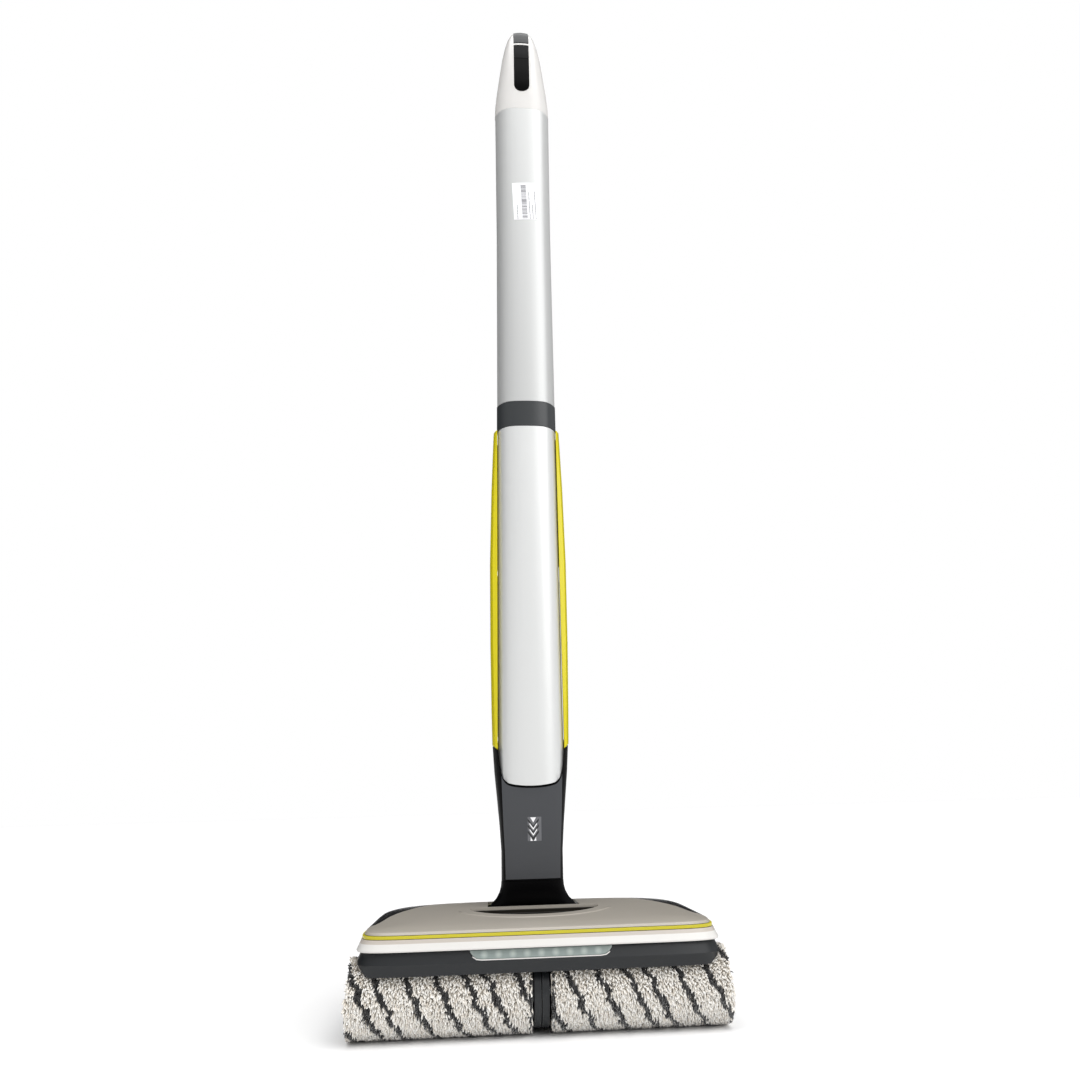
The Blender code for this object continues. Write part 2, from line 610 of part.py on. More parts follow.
def make_neck():
    """The black neck shell on the spigot, with the grey plate on its front."""
    neck = loft("neck_shell", [section(*row) for row in NECK_ROWS], "black")
    cut(neck, rod("spigot_bore", (0, PIVOT_Y, 90), (0, PIVOT_Y, 128), 14.5, None, 20))
    room = [(24.0, 26.0, 58.0, 126.0), (27.0, 26.0, 66.0, 178.0), (32.0, 26.0, 78.0, NECK_TOP + 5)]
    cut(neck, loft("neck_room", [section(*row) for row in room], None))
    plate_rows = []
    for half_width, z in ((26.5, 106.0), (27.2, 131.0), (28.6, 155.0), (29.6, 178.0), (30.6, 205.0), (31.0, 222.0)):
        front = between([(row[3], row[1]) for row in NECK_ROWS], z) - 1.7
        edge = [half_width * math.sin(math.radians(angle)) for angle in range(-90, 91, 18)]
        face = [(x, front + 1.1 * abs(x / half_width) ** 4, z) for x in edge]
        back = [(x, y + 1.4, z) for x, y, z in reversed(face)]
        plate_rows.append(face + back)
    panel = loft("neck_plate", plate_rows, "neck_grey")
    keep_clear = [(half_width + 0.3, front, back, z) for half_width, front, back, z in NECK_ROWS]
    cut(panel, loft("neck_clearance", [section(w, f - 0.25, b, z) for w, f, b, z in keep_clear], None))
    cut(neck, panel_room(0.5))
    for side in (-1, 1):
        wedge = [(side * x, z) for x, z in ((33.9, rail_bottom(33.9) - 1.4), (44, rail_bottom(44) - 1.4), (44, 250),
                                            (33.9, 250))]
        cut(neck, plate(f"rail_room_{side}", [wedge], 20, 60.6, "Y", None))
    cut(panel, panel_room(2.0))
    carry("stick_swivel", neck, panel)


# ---------------------------------------------------------------- body of the stick

EDGE_RETURN = 17.0        # how far the front face curls back at its sides
EDGE_POWER = 5.0
CROWN = 2.5               # how far the middle of the front face stands out


def front_face(half_width, z, shift=0.0, count=17):
    """The crowned front of the stick, which curls back at both sides."""
    points = []
    for i in range(count):
        share = math.sin(math.pi * (i / (count - 1) - 0.5))
        y = STICK_FRONT + shift + CROWN * share ** 2 + (EDGE_RETURN - CROWN) * abs(share) ** EDGE_POWER
        points.append((half_width * share, y, z))
    return points


def tube_section(half_width, back, z, wall=0.0):
    """The whole outline of the handle tube: crowned front and a rounded back."""
    side_y = STICK_FRONT + EDGE_RETURN
    front = front_face(half_width - wall, z, wall)
    rear = []
    for i in range(1, 12):
        angle = math.pi * i / 12
        c = math.cos(angle)
        s = math.sin(angle)
        x = (half_width - wall) * math.copysign(abs(c) ** (2 / 3), c)
        rear.append((x, side_y + wall + (back - side_y - 2 * wall) * s ** (2 / 3), z))
    return front + rear


def panel_bottom(x):
    """The panel's lower edge: a shallow arc that turns up quickly at the corners."""
    share = abs(x / 33.6)
    return PANEL_BOTTOM + 5.0 * share ** 2 + 22.0 * share ** 10


def panel_room(margin):
    """The space kept free for the front panel, down to a margin below its lower edge."""
    edge = [34.0 * i / 32 for i in range(-32, 33)]
    outline = [(x, panel_bottom(x) - margin) for x in edge] + [(34.0, PANEL_TOP), (-34.0, PANEL_TOP)]
    return plate(f"panel_room_{margin}", [outline], 0, STICK_FRONT + EDGE_RETURN + 0.5, "Y", None)


def make_front_panel():
    """The light panel, whose lower edge bulges down over the neck."""
    wall = 2.4
    rings = []
    for share in (0.0, 0.34, 0.67, 1.0):
        face = []
        for x, y, _ in front_face(33.6, 0):
            bottom = panel_bottom(x)
            face.append((x, y, bottom + (PANEL_TOP - bottom) * share))
        inner = []
        for x, y, _ in reversed(front_face(33.6 - wall, 0, wall)):
            bottom = panel_bottom(x)
            inner.append((x, min(y, STICK_FRONT + EDGE_RETURN), bottom + (PANEL_TOP - bottom) * share))
        rings.append(face + inner)
    return loft("front_panel", rings, "panel")


RAIL_BULGE = [(227, 0.6), (263, 1.6), (340, 3.0), (431, 3.6), (510, 2.2), (585, -0.3)]


def rail_bottom(x):
    """The rails end in a slant that rises outwards."""
    return 227.0 + 1.1 * (x - 34.0)


def make_side_rail(word, side):
    """A yellow rail: a curved strip down the body's side, cut off at a slant below."""
    profile = [(34.1, 25.0), (36.0, 26.5), (38.4, 33.0), (38.8, 45.0), (38.4, 60.0), (35.6, 60.0), (35.8, 45.0),
               (35.6, 35.0), (34.1, 31.5)]
    rings = []
    for share in (0.0, 0.1, 0.3, 0.55, 0.8, 1.0):
        ring = []
        for x, y in profile:
            low = rail_bottom(x)
            z = low + (PANEL_TOP - 0.4 - low) * share
            swell = between(RAIL_BULGE, z) * min(1.0, (x - 34.1) / 1.5)
            ring.append((side * (x + swell), y, z))
        rings.append(ring)
    return loft(f"side_rail_{word}", rings, "yellow")


def make_body():
    """The inner frame with battery, board and pump, the panel, rails, rear cover and collar."""
    frame = [(-33.6, 31), (33.6, 31), (33.6, 57), (31.2, 57), (31.2, 33.4), (-31.2, 33.4), (-31.2, 57), (-33.6, 57)]
    pieces = [plate("body_frame", [frame], NECK_TOP + 0.5, PANEL_TOP - 0.5, "Z", "black")]
    pieces.append(make_front_panel())
    pieces += [make_side_rail(word, side) for word, side in (("left", -1), ("right", 1))]
    pieces.append(block("battery_pack", (-28, 36, 424), (28, 55.5, 556), "battery", 2.0))
    pieces.append(block("control_board", (-24, 36, 320), (24, 37.6, 410), "board"))
    pieces.append(block("water_pump", (-16, 36, 250), (16, 55, 296), "black", 2.0))
    wall = 2.2
    rings = []
    for z in (430.0, 505.0, PANEL_TOP - 0.5):
        depth = between([(430, BODY_BACK), (505, 88), (585, 76)], z)
        rings.append(rear_section(37.0, 61.0, depth, z, wall))
    cover = loft("rear_cover", rings, "charcoal")
    flap_hole = block("flap_hole", (-9, 60, 450), (9, 110, 466), None)
    cut(cover, flap_hole)
    pieces.append(cover)
    flap = block("socket_flap", (-11.5, 93.2, 448), (11.5, 94.8, 469), "rubber", 0.5)
    pivot("flap_hinge", (0, 94, 469), "stick_swivel")
    carry("flap_hinge", flap)
    tube = [tube_section(34.0, 60, COLLAR_TOP + GAP), tube_section(34.4, 60, 860.0), tube_section(36.2, 60, TUBE_TOP)]
    inner = [tube_section(36.2, 60, TUBE_TOP, 2.4), tube_section(34.4, 60, 860.0, 2.4),
             tube_section(34.0, 60, COLLAR_TOP + GAP, 2.4)]
    pieces.append(loft("handle_tube", tube + inner, "silver", ring_of_rings=True))
    collar = loft("collar", [tube_section(34.5, 61, PANEL_TOP + GAP), tube_section(34.5, 61, COLLAR_TOP)], "charcoal")
    spigot = [tube_section(34.0, 60, 600.0, 3.0), tube_section(34.0, 60, 650.0, 3.0)]
    join(collar, loft("collar_spigot", spigot, None))
    join(collar, block("collar_tongue", (-27, 36, 562), (27, 54, 590), None))
    cut(collar, rod("cable_way", (0, 45, 550), (0, 45, 660), 6.0, None, 16))
    pieces.append(collar)
    carry("stick_swivel", *pieces)


def rear_section(half_width, start, back, z, wall):
    """A U-shaped section round the back of the body."""
    outer = []
    inner = []
    for i in range(13):
        angle = math.pi * i / 12
        c = math.cos(angle)
        s = math.sin(angle)
        outer.append((half_width * math.copysign(abs(c) ** 0.6, c), start + (back - start) * s ** 0.6, z))
        inner.append(((half_width - wall) * math.copysign(abs(c) ** 0.6, c),
                      start + (back - wall - start) * s ** 0.6, z))
    return outer + inner[::-1]


def make_clean_tank():
    """The clean water tank on the back of the body, with its bayonet cap and sprung latch."""
    rows = [(33.0, 61.0, 84.0, 240.0), (36.5, 58.0, BODY_BACK - 1, 256.0), (37.0, 57.8, BODY_BACK, 340.0),
            (37.0, 57.8, BODY_BACK, 412.0), (36.0, 58.5, BODY_BACK - 1, 420.0)]
    tank = loft("clean_tank", [section(*row, power=5.0) for row in rows], "tank")
    room = [(31.0, 63.0, 82.0, 243.0), (34.3, 60.4, BODY_BACK - 3.4, 257.0), (34.6, 60.2, BODY_BACK - 2.6, 405.0)]
    cut(tank, loft("tank_room", [section(*row, power=5.0) for row in room], None))
    cut(tank, rod("fill_hole", (-14, 73, 400), (-14, 73, 430), 11.5, None, 24))
    profile = [(0, 425.0), (13.8, 425.0), (13.8, 420.35), (11.0, 420.35), (11.0, 409.0), (8.4, 409.0), (8.4, 421.0),
               (0, 421.0)]
    cap = turned("tank_cap", profile, (-14, 73, 0), "yellow", 24, "Z")
    cut(tank, block("latch_pocket", (5.5, 80, 414.5), (26.5, 100, 430), None))
    latch = block("tank_latch", (6, 80.5, 418.8), (26, 91, 427), "yellow", 0.8)
    pivot("clean_tank_slide", (0, 75, 240), "stick_swivel")
    pivot("tank_cap_turn", (-14, 73, 420), "clean_tank_slide")
    pivot("tank_latch_travel", (16, 86, 420), "clean_tank_slide")
    carry("clean_tank_slide", tank)
    carry("tank_cap_turn", cap)
    carry("tank_latch_travel", latch)


# ---------------------------------------------------------------- handle

# Stations of the white shell's front line: y, z, half width, side depth
HANDLE_LINE = [(13.0, 1058.3, 36.8, 24.0), (13.0, 1078.0, 36.2, 22.0), (13.0, 1102.0, 33.8, 20.0),
               (13.4, 1130.0, 30.2, 17.0), (14.4, 1158.0, 26.6, 14.0), (16.8, 1183.0, 22.3, 11.5),
               (21.0, 1200.0, 18.8, 9.8), (28.5, 1212.0, 16.2, 8.6), (40.0, 1218.5, 14.2, 7.6),
               (54.0, 1220.0, 12.8, 7.0), (70.0, 1219.0, 12.2, 7.0)]

HANDLE_CROWN = 3.0        # how far the middle of the shell stands out from its sides


def line_at(station):
    """Position, inward normal, half width and side depth at a whole or part station."""
    index = min(int(station), len(HANDLE_LINE) - 2)
    share = station - index
    y0, z0, w0, d0 = HANDLE_LINE[index]
    y1, z1, w1, d1 = HANDLE_LINE[index + 1]
    before = HANDLE_LINE[max(index - 1, 0)]
    after = HANDLE_LINE[min(index + 2, len(HANDLE_LINE) - 1)]
    t0 = Vector((y1 - before[0], z1 - before[1])).normalized()
    t1 = Vector((after[0] - y0, after[1] - z0)).normalized()
    tangent = (t0 * (1 - share) + t1 * share).normalized()
    normal = Vector((tangent.y, -tangent.x))
    spot = Vector((y0 + (y1 - y0) * share, z0 + (z1 - z0) * share))
    return spot, normal, w0 + (w1 - w0) * share, d0 + (d1 - d0) * share


def station_at_height(z):
    """The station at which the front line reaches a height."""
    for index in range(len(HANDLE_LINE) - 1):
        z0 = HANDLE_LINE[index][1]
        z1 = HANDLE_LINE[index + 1][1]
        if z0 <= z <= z1:
            return index + (z - z0) / (z1 - z0)
    return 0.0


def handle_point(station, x, depth):
    """A point below the shell's crowned face: across by x, and inwards by the depth."""
    spot, normal, half_width, _ = line_at(station)
    place = spot + normal * (depth + HANDLE_CROWN * (x / half_width) ** 2)
    return (x, place.x, place.y)


def make_handle_shell():
    """The white shell: a C section carried along the front line, with slots for the controls."""
    wall = 3.0
    rings = []
    for station in range(len(HANDLE_LINE)):
        _, _, half_width, side_depth = line_at(station)
        outer = []
        inner = []
        for i in range(11):
            share = math.sin(math.pi * (i / 10 - 0.5))
            curl = (side_depth - HANDLE_CROWN) * abs(share) ** 6
            inner_curl = wall + (side_depth - wall - HANDLE_CROWN) * abs(share) ** 6
            outer.append(handle_point(station, half_width * share, curl))
            inner.append(handle_point(station, (half_width - wall) * share, inner_curl))
        rings.append(outer + inner[::-1])
    shell = loft("handle_shell", rings, "white")
    cut(shell, control_patch("control_slot", None, DISPLAY_LOW - 0.4, BOOST_HIGH + 0.4, 10.6, -4.0, 7.0, True))
    cut(shell, control_patch("power_slot", None, POWER_LOW - 1.0, POWER_HIGH + 0.6, 10.6, -4.0, 7.0, False))
    return shell


DISPLAY_LOW = 1088.0
DISPLAY_HIGH = 1149.0
BOOST_LOW = 1149.6
BOOST_HIGH = 1175.5
POWER_LOW = 1179.8
POWER_HIGH = 1216.5


def control_patch(name, finish, low, high, half_width, outer, inner, round_end):
    """A strip of the front line's surface between two heights, its lower end rounded if asked."""
    heights = [low + (high - low) * i / 8 for i in range(9)]
    if round_end:
        bend = half_width
        heights = [low + bend * (1 - math.cos(math.radians(a))) for a in (12, 35, 60, 90)]
        heights += [low + bend + (high - low - bend) * i / 7 for i in range(1, 8)]
    rings = []
    for z in heights:
        station = station_at_height(z)
        x = half_width
        if round_end and z < low + half_width:
            x = math.sqrt(half_width ** 2 - (low + half_width - z) ** 2)
        across = [-x, -x / 2, 0.0, x / 2, x]
        rings.append([handle_point(station, u, outer) for u in across]
                     + [handle_point(station, u, inner) for u in reversed(across)])
    return loft(name, rings, finish)


def make_grip():
    """The dark closed loop behind the shell: sections carried round the finger opening."""
    tilt = math.radians(8)
    count = 28
    inner = superellipse(20, 46, 2.6, count, (0, 0))
    outer = superellipse(41, 70, 2.6, count, (0, 0))
    rings = []
    for k in range(count):
        corners = []
        for (u, v), (cy, cz) in ((inner[k], (62, 1139)), (outer[k], (64, 1140))):
            y = cy + u * math.cos(tilt) + v * math.sin(tilt)
            z = cz - u * math.sin(tilt) + v * math.cos(tilt)
            corners.append(Vector((y, z)))
        near, far = corners
        rearness = 0.5 + 0.5 * math.tanh((near.x - 62) / 8)
        front_width = between([(1060, 28.0), (1102, 27.0), (1130, 24.0), (1160, 20.0), (1190, 13.5), (1214, 9.0)], far.y)
        half_width = front_width * (1 - rearness) + 14.5 * rearness
        ring = []
        for across, along in ((-1, 0.2), (-0.7, 0.0), (0.7, 0.0), (1, 0.2), (1, 0.8), (0.7, 1.0), (-0.7, 1.0), (-1, 0.8)):
            spot = near + (far - near) * along
            ring.append((across * half_width, spot.x, spot.y))
        rings.append(ring)
    grip = loft("handle_grip", rings, "black", ring_of_rings=True)
    foot = [(29.0, 22.0, 54.0, 1032.0), (29.0, 22.0, 54.0, TUBE_TOP), (33.0, 24.0, 60.0, TUBE_TOP + 0.4),
            (32.6, 24.0, 61.0, 1074.0), (25.0, 27.0, 66.0, 1090.0)]
    join(grip, loft("grip_foot", [section(*row) for row in foot], None))
    return grip


def make_handle():
    """Shell, grip, display and the two buttons."""
    shell = make_handle_shell()
    display = control_patch("display_window", "black_gloss", DISPLAY_LOW, DISPLAY_HIGH, 10.2, 0.5, 3.0, True)
    boost = control_patch("boost_button", "black", BOOST_LOW, BOOST_HIGH, 10.2, 0.4, 3.4, False)
    power = control_patch("power_button", "button_grey", POWER_LOW, POWER_HIGH, 10.2, -0.4, 3.0, False)
    carry("stick_swivel", shell, make_grip(), display)
    pivot("boost_travel", (0, 15, 1162), "stick_swivel")
    pivot("power_travel", (0, 21, 1200), "stick_swivel")
    carry("boost_travel", boost)
    carry("power_travel", power)


# ---------------------------------------------------------------- assembly

make_bumper()
make_chassis()
make_cover()
make_gearcase()
make_gears()
for row_name, row_y in (("front", -ROLLER_Y), ("rear", ROLLER_Y)):
    for side_name, side_sign in (("left", -1), ("right", 1)):
        make_roller(row_name, row_y, side_name, side_sign)
make_dirty_tank()
make_yoke()
make_neck()
make_body()
make_clean_tank()
make_handle()
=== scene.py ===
# %% [markdown]
# # Cordless wet floor scrubber
# The machine stands upright on a low head with four powered rollers. The imported CAD model gives every mechanical
# piece in its place. This script gives them their finishes, rounds the edges of merged copies of the visible pieces,
# adds small things on their surfaces, and grows the shaggy pile on the rollers.
#
# Everything is in metres, in the CAD model's frame: X is the width, the front faces -Y, +Z is up and the
# floor is at Z = 0. MM turns the millimetres that a maker would write into metres.

# %% Load the CAD frame
import json
import math

import bmesh
import bpy
import numpy as np
from mathutils import Matrix, Vector
from mathutils.bvhtree import BVHTree


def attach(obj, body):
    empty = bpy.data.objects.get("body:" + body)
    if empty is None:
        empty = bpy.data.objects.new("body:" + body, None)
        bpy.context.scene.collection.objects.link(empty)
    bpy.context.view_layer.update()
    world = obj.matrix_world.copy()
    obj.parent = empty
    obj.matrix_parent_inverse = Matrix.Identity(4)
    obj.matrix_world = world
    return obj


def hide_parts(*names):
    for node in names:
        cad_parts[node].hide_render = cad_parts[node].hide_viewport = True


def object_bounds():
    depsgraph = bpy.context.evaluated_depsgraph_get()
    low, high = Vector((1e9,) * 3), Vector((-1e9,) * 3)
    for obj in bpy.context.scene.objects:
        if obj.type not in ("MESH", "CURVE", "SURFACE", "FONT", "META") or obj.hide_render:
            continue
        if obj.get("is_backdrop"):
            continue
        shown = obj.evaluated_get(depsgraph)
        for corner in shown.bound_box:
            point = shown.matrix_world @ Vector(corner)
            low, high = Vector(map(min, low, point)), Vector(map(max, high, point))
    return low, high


MM = 0.001
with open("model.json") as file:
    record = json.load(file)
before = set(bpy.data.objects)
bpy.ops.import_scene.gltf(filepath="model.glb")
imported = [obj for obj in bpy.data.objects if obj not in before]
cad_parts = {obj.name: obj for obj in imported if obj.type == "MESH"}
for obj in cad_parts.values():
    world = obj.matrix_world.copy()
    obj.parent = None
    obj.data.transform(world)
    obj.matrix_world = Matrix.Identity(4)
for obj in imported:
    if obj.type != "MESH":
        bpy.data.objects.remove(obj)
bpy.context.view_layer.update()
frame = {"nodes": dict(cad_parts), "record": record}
NODES = frame["nodes"]

# %% [markdown]
# ## The camera
# The view is from in front, low and a little to the left, tilted up at the handle. A wide lens close to the
# machine makes the head look large and the handle small, so the place and the lens matter together. The
# camera's axes are worked out from three angles: yaw turns it left or right, pitch tilts it up, and roll
# leans it.

# %% Camera
CAMERA_PLACE = Vector((-37.9, -871.2, 167.3)) * MM
CAMERA_YAW = math.radians(4.56)
CAMERA_PITCH = math.radians(20.39)
CAMERA_ROLL = math.radians(-1.59)
SENSOR = 36.0
LENS = 28.1
SHIFT_RIGHT = -0.0157
SHIFT_UP = -0.0398

forward = Vector((math.sin(CAMERA_YAW) * math.cos(CAMERA_PITCH),
                  math.cos(CAMERA_YAW) * math.cos(CAMERA_PITCH), math.sin(CAMERA_PITCH)))
level_right = Vector((math.cos(CAMERA_YAW), -math.sin(CAMERA_YAW), 0))
level_up = level_right.cross(forward)
right = level_right * math.cos(CAMERA_ROLL) + level_up * math.sin(CAMERA_ROLL)
up = level_up * math.cos(CAMERA_ROLL) - level_right * math.sin(CAMERA_ROLL)

camera = bpy.data.objects.new("camera", bpy.data.cameras.new("camera"))
bpy.context.scene.collection.objects.link(camera)
camera.matrix_world = Matrix.Translation(CAMERA_PLACE) @ Matrix((right, up, -forward)).transposed().to_4x4()
camera.data.sensor_width = SENSOR
camera.data.lens = LENS
camera.data.shift_x = SHIFT_RIGHT
camera.data.shift_y = SHIFT_UP
bpy.context.scene.camera = camera
print("camera looks along", [round(v, 3) for v in forward])

# %% [markdown]
# ## Studio light
# White plastic needs something darker to reflect, or its curved edges vanish into a white room. So the
# room is bright in front, to the right and overhead, and falls off to dark at the left and behind, where a
# photographer would hang black cloth. An edge seen at a grazing angle mirrors that cloth. Two wide suns
# light the floor evenly and model the shapes from the right. The backdrop that the camera sees is plain
# white, and the floor is plain and pale.

# %% Colours, nodes and ramps
bpy.context.scene.view_settings.view_transform = "Standard"


def linear(hex_colour):
    """An sRGB hex colour as linear red, green, blue and an alpha of 1."""
    values = [int(hex_colour[i:i + 2], 16) / 255 for i in (1, 3, 5)]
    return tuple(v / 12.92 if v <= 0.04045 else ((v + 0.055) / 1.055) ** 2.4 for v in values) + (1.0,)


def add(tree, kind, values=None, **settings):
    """Add a node. settings are its properties. values go to its inputs, and an output socket makes a link."""
    made = tree.nodes.new(kind)
    for key, value in settings.items():
        setattr(made, key, value)
    for key, value in (values or {}).items():
        if isinstance(value, bpy.types.NodeSocket):
            tree.links.new(value, made.inputs[key])
        else:
            made.inputs[key].default_value = value
    return made


def ramp(tree, factor, stops):
    """A colour ramp from (position, colour) stops."""
    made = add(tree, "ShaderNodeValToRGB", {0: factor})
    elements = made.color_ramp.elements
    while len(elements) < len(stops):
        elements.new(0.5)
    for element, (position, colour) in zip(elements, stops):
        element.position = position
        element.color = colour
    return made.outputs["Color"]


print("white is", linear("#FFFFFF"), "and mid grey is", round(linear("#808080")[0], 3), "in linear light")

# %% [markdown]
# The room's brightness follows how far a direction leans towards its bright side: the dot product of the
# two. Below the first share of its range it is cloth, above the second it is white wall, with a slow blend
# between them. What the camera sees of it is replaced by plain white.

# %% Room
world = bpy.data.worlds.new("soft studio")
bpy.context.scene.world = world
world.use_nodes = True
tree = world.node_tree
tree.nodes.clear()
direction = add(tree, "ShaderNodeTexCoord").outputs["Generated"]
BRIGHT_SIDE = (0.38, -0.92, 0.6)
dot = add(tree, "ShaderNodeVectorMath", {0: direction, 1: BRIGHT_SIDE}, operation="DOT_PRODUCT")
LONGEST = 1.2    # a little more than the length of BRIGHT_SIDE, so every dot product lies within it
spread = add(tree, "ShaderNodeMapRange", {0: dot.outputs["Value"], 1: -LONGEST, 2: LONGEST}).outputs[0]
CLOTH = (0.04, 0.04, 0.042, 1.0)
ROOM = (0.62, 0.62, 0.625, 1.0)
CLOTH_ENDS = 0.36
WALL_STARTS = 0.68
room = ramp(tree, spread, [(0.0, CLOTH), (CLOTH_ENDS, CLOTH), (WALL_STARTS, ROOM), (1.0, ROOM)])
lit = add(tree, "ShaderNodeBackground", {"Color": room, "Strength": 1.0})
seen = add(tree, "ShaderNodeBackground", {"Color": (1, 1, 1, 1), "Strength": 1.0})
eye = add(tree, "ShaderNodeLightPath").outputs["Is Camera Ray"]
backdrop = add(tree, "ShaderNodeMixShader", {0: eye, 1: lit.outputs[0], 2: seen.outputs[0]})
add(tree, "ShaderNodeOutputWorld", {0: backdrop.outputs[0]})
print("room:", ROOM[:3], "cloth:", CLOTH[:3])

# %% [markdown]
# A sun's place does not matter, only its direction and its width. The key is low and from the right, and
# models the round shapes. The fill is nearly overhead and lights the floor until it looks white.


# %% Suns and floor
def sun(name, azimuth, elevation, strength, width):
    """A sun from an azimuth (0 in front, 90 at the right) and elevation, as wide as a big softbox."""
    light = bpy.data.lights.new(name, "SUN")
    light.energy = strength
    light.angle = math.radians(width)
    holder = bpy.data.objects.new(name, light)
    bpy.context.scene.collection.objects.link(holder)
    a, e = math.radians(azimuth), math.radians(elevation)
    towards = Vector((math.sin(a) * math.cos(e), -math.cos(a) * math.cos(e), math.sin(e)))
    holder.rotation_euler = towards.to_track_quat("Z", "Y").to_euler()
    holder.location = towards * 3


sun("key from the right", azimuth=40, elevation=33, strength=1.0, width=50)
sun("fill from above", azimuth=10, elevation=78, strength=1.9, width=60)

floor_mesh = bpy.data.meshes.new("floor")
FLOOR = 60.0
corners = [(-FLOOR, -FLOOR, 0), (FLOOR, -FLOOR, 0), (FLOOR, FLOOR, 0), (-FLOOR, FLOOR, 0)]
floor_mesh.from_pydata(corners, [], [(0, 1, 2, 3)])
floor = bpy.data.objects.new("floor", floor_mesh)
bpy.context.scene.collection.objects.link(floor)
paint = bpy.data.materials.new("pale studio floor")
paint.use_nodes = True
paint.node_tree.nodes["Principled BSDF"].inputs["Base Color"].default_value = (0.97, 0.97, 0.97, 1)
paint.node_tree.nodes["Principled BSDF"].inputs["Roughness"].default_value = 0.9
floor_mesh.materials.append(paint)
floor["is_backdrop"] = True

# %% [markdown]
# ## Moulded plastics
# Most of the machine is ABS, injection moulded. A polished mould gives an even glossy skin. An etched
# mould gives a fine grain that turns a highlight into a glow, and its colour and polish vary a little from
# place to place. One function makes them all from the colour, the roughness, the grain's size and depth,
# and how much polish and colour vary (the mottle). The panel and the tube wear a pale silver paint, whose flakes mirror
# the room a little, so their curled edges go dark.

# %% Plastics
GLOSS_IOR = 1.53
PATCH_SCALE = 18.0


def plastic(name, colour, roughness, grain_mm=0.0, grain_depth=0.0, polish=0.0, ior=GLOSS_IOR, mottle=0.0,
            flake=0.0):
    """ABS: a slow noise varies colour and polish, and a fine noise of the grain's size makes the bump."""
    material = bpy.data.materials.new(name)
    material.use_nodes = True
    tree = material.node_tree
    shader = tree.nodes["Principled BSDF"]
    shader.inputs["IOR"].default_value = ior
    shader.inputs["Metallic"].default_value = flake
    base = linear(colour)
    shader.inputs["Base Color"].default_value = base
    shader.inputs["Roughness"].default_value = roughness
    if not (mottle or grain_mm):
        return material
    place = add(tree, "ShaderNodeTexCoord").outputs["Object"]
    if mottle:
        noise = add(tree, "ShaderNodeTexNoise", {"Vector": place, "Scale": PATCH_SCALE, "Detail": 2.0})
        slow = noise.outputs["Fac"]
        darker = tuple(v * (1 - mottle) for v in base[:3]) + (1.0,)
        lighter = tuple(min(1.0, v * (1 + mottle)) for v in base[:3]) + (1.0,)
        tree.links.new(ramp(tree, slow, [(0.2, darker), (0.8, lighter)]), shader.inputs["Base Color"])
        rough = add(tree, "ShaderNodeMapRange", {0: slow, 1: 0.2, 2: 0.8,
                                                 3: roughness - polish, 4: roughness + polish})
        tree.links.new(rough.outputs[0], shader.inputs["Roughness"])
    if grain_mm:
        grain = add(tree, "ShaderNodeTexNoise", {"Vector": place, "Scale": 1 / (grain_mm * MM), "Detail": 2.0})
        bump = add(tree, "ShaderNodeBump", {"Height": grain.outputs["Fac"], "Strength": 1.0,
                                            "Distance": grain_depth * MM})
        tree.links.new(bump.outputs[0], shader.inputs["Normal"])
    return material


COVER = plastic("glossy ABS, warm grey", "#A8A298", 0.3)
WHITE = plastic("glossy ABS, white", "#D9D7D4", 0.22)
YELLOW = plastic("glossy ABS, yellow", "#D2C504", 0.26)
TRIM = plastic("glossy ABS, olive yellow", "#BFB41C", 0.36)
# The grain of an etched mould is about 0.2 mm: it is drawn at 1.1 mm, or it would not show at this distance
CHARCOAL = plastic("etched ABS, charcoal", "#1E2022", 0.36, 1.1, 0.02, ior=1.4, mottle=0.05, polish=0.02)
COLLAR = plastic("satin ABS, graphite", "#2C2F31", 0.3, 1.1, 0.015, mottle=0.04, polish=0.02)
BLACK = plastic("satin ABS, black", "#040405", 0.42, 1.3, 0.015, ior=1.16, mottle=0.1, polish=0.02)
PIANO = plastic("acrylic, piano black", "#020202", 0.12, ior=1.12)
CORNER = plastic("polished ABS, smoke", "#0D0C0C", 0.2, ior=1.25)
PANEL = plastic("pale silver paint on ABS", "#DCDDDC", 0.38, flake=0.45)
LACQUER = plastic("silver paint on aluminium", "#C6C7C6", 0.4, flake=0.5)
NECK = plastic("satin ABS, slate", "#393B3F", 0.34, 1.2, 0.02, mottle=0.04, polish=0.02)
BUTTON = plastic("soft-touch coating, grey", "#1B1E20", 0.5, 0.9, 0.03, ior=1.4, mottle=0.015)
TANK = plastic("SAN, smoked", "#2C2F31", 0.16)
RUBBER = plastic("moulded rubber", "#1B1B1B", 0.75, 0.8, 0.06, mottle=0.03)
SLEEVE = plastic("shrink sleeve, blue", "#24407E", 0.45)
NYLON = plastic("nylon, natural", "#D9D3BE", 0.5, 0.8, 0.02, mottle=0.015)
# The pedal sits in a recess. Its dark brown is a yellowish part's colour, darkened as painted shade of the recess.
PEDAL = plastic("satin ABS, yellowish, darkened as painted shade", "#1F1C16", 0.3, 1.2, 0.03, ior=1.3, mottle=0.1, polish=0.02)
PAPER = plastic("label paper, white", "#F6F6F8", 0.6)
INK = plastic("printing ink, grey", "#55555D", 0.6)
DARK_INK = plastic("printing ink, black", "#17181A", 0.5)
PATCH = plastic("clear label film over slate", "#66676B", 0.35)
print("materials so far:", len(bpy.data.materials))

# %% [markdown]
# ## Metals
# The shafts and the motor can are turned steel, with fine rings round their axis. The bushes are sintered
# bronze, whose grain runs the same in every direction.


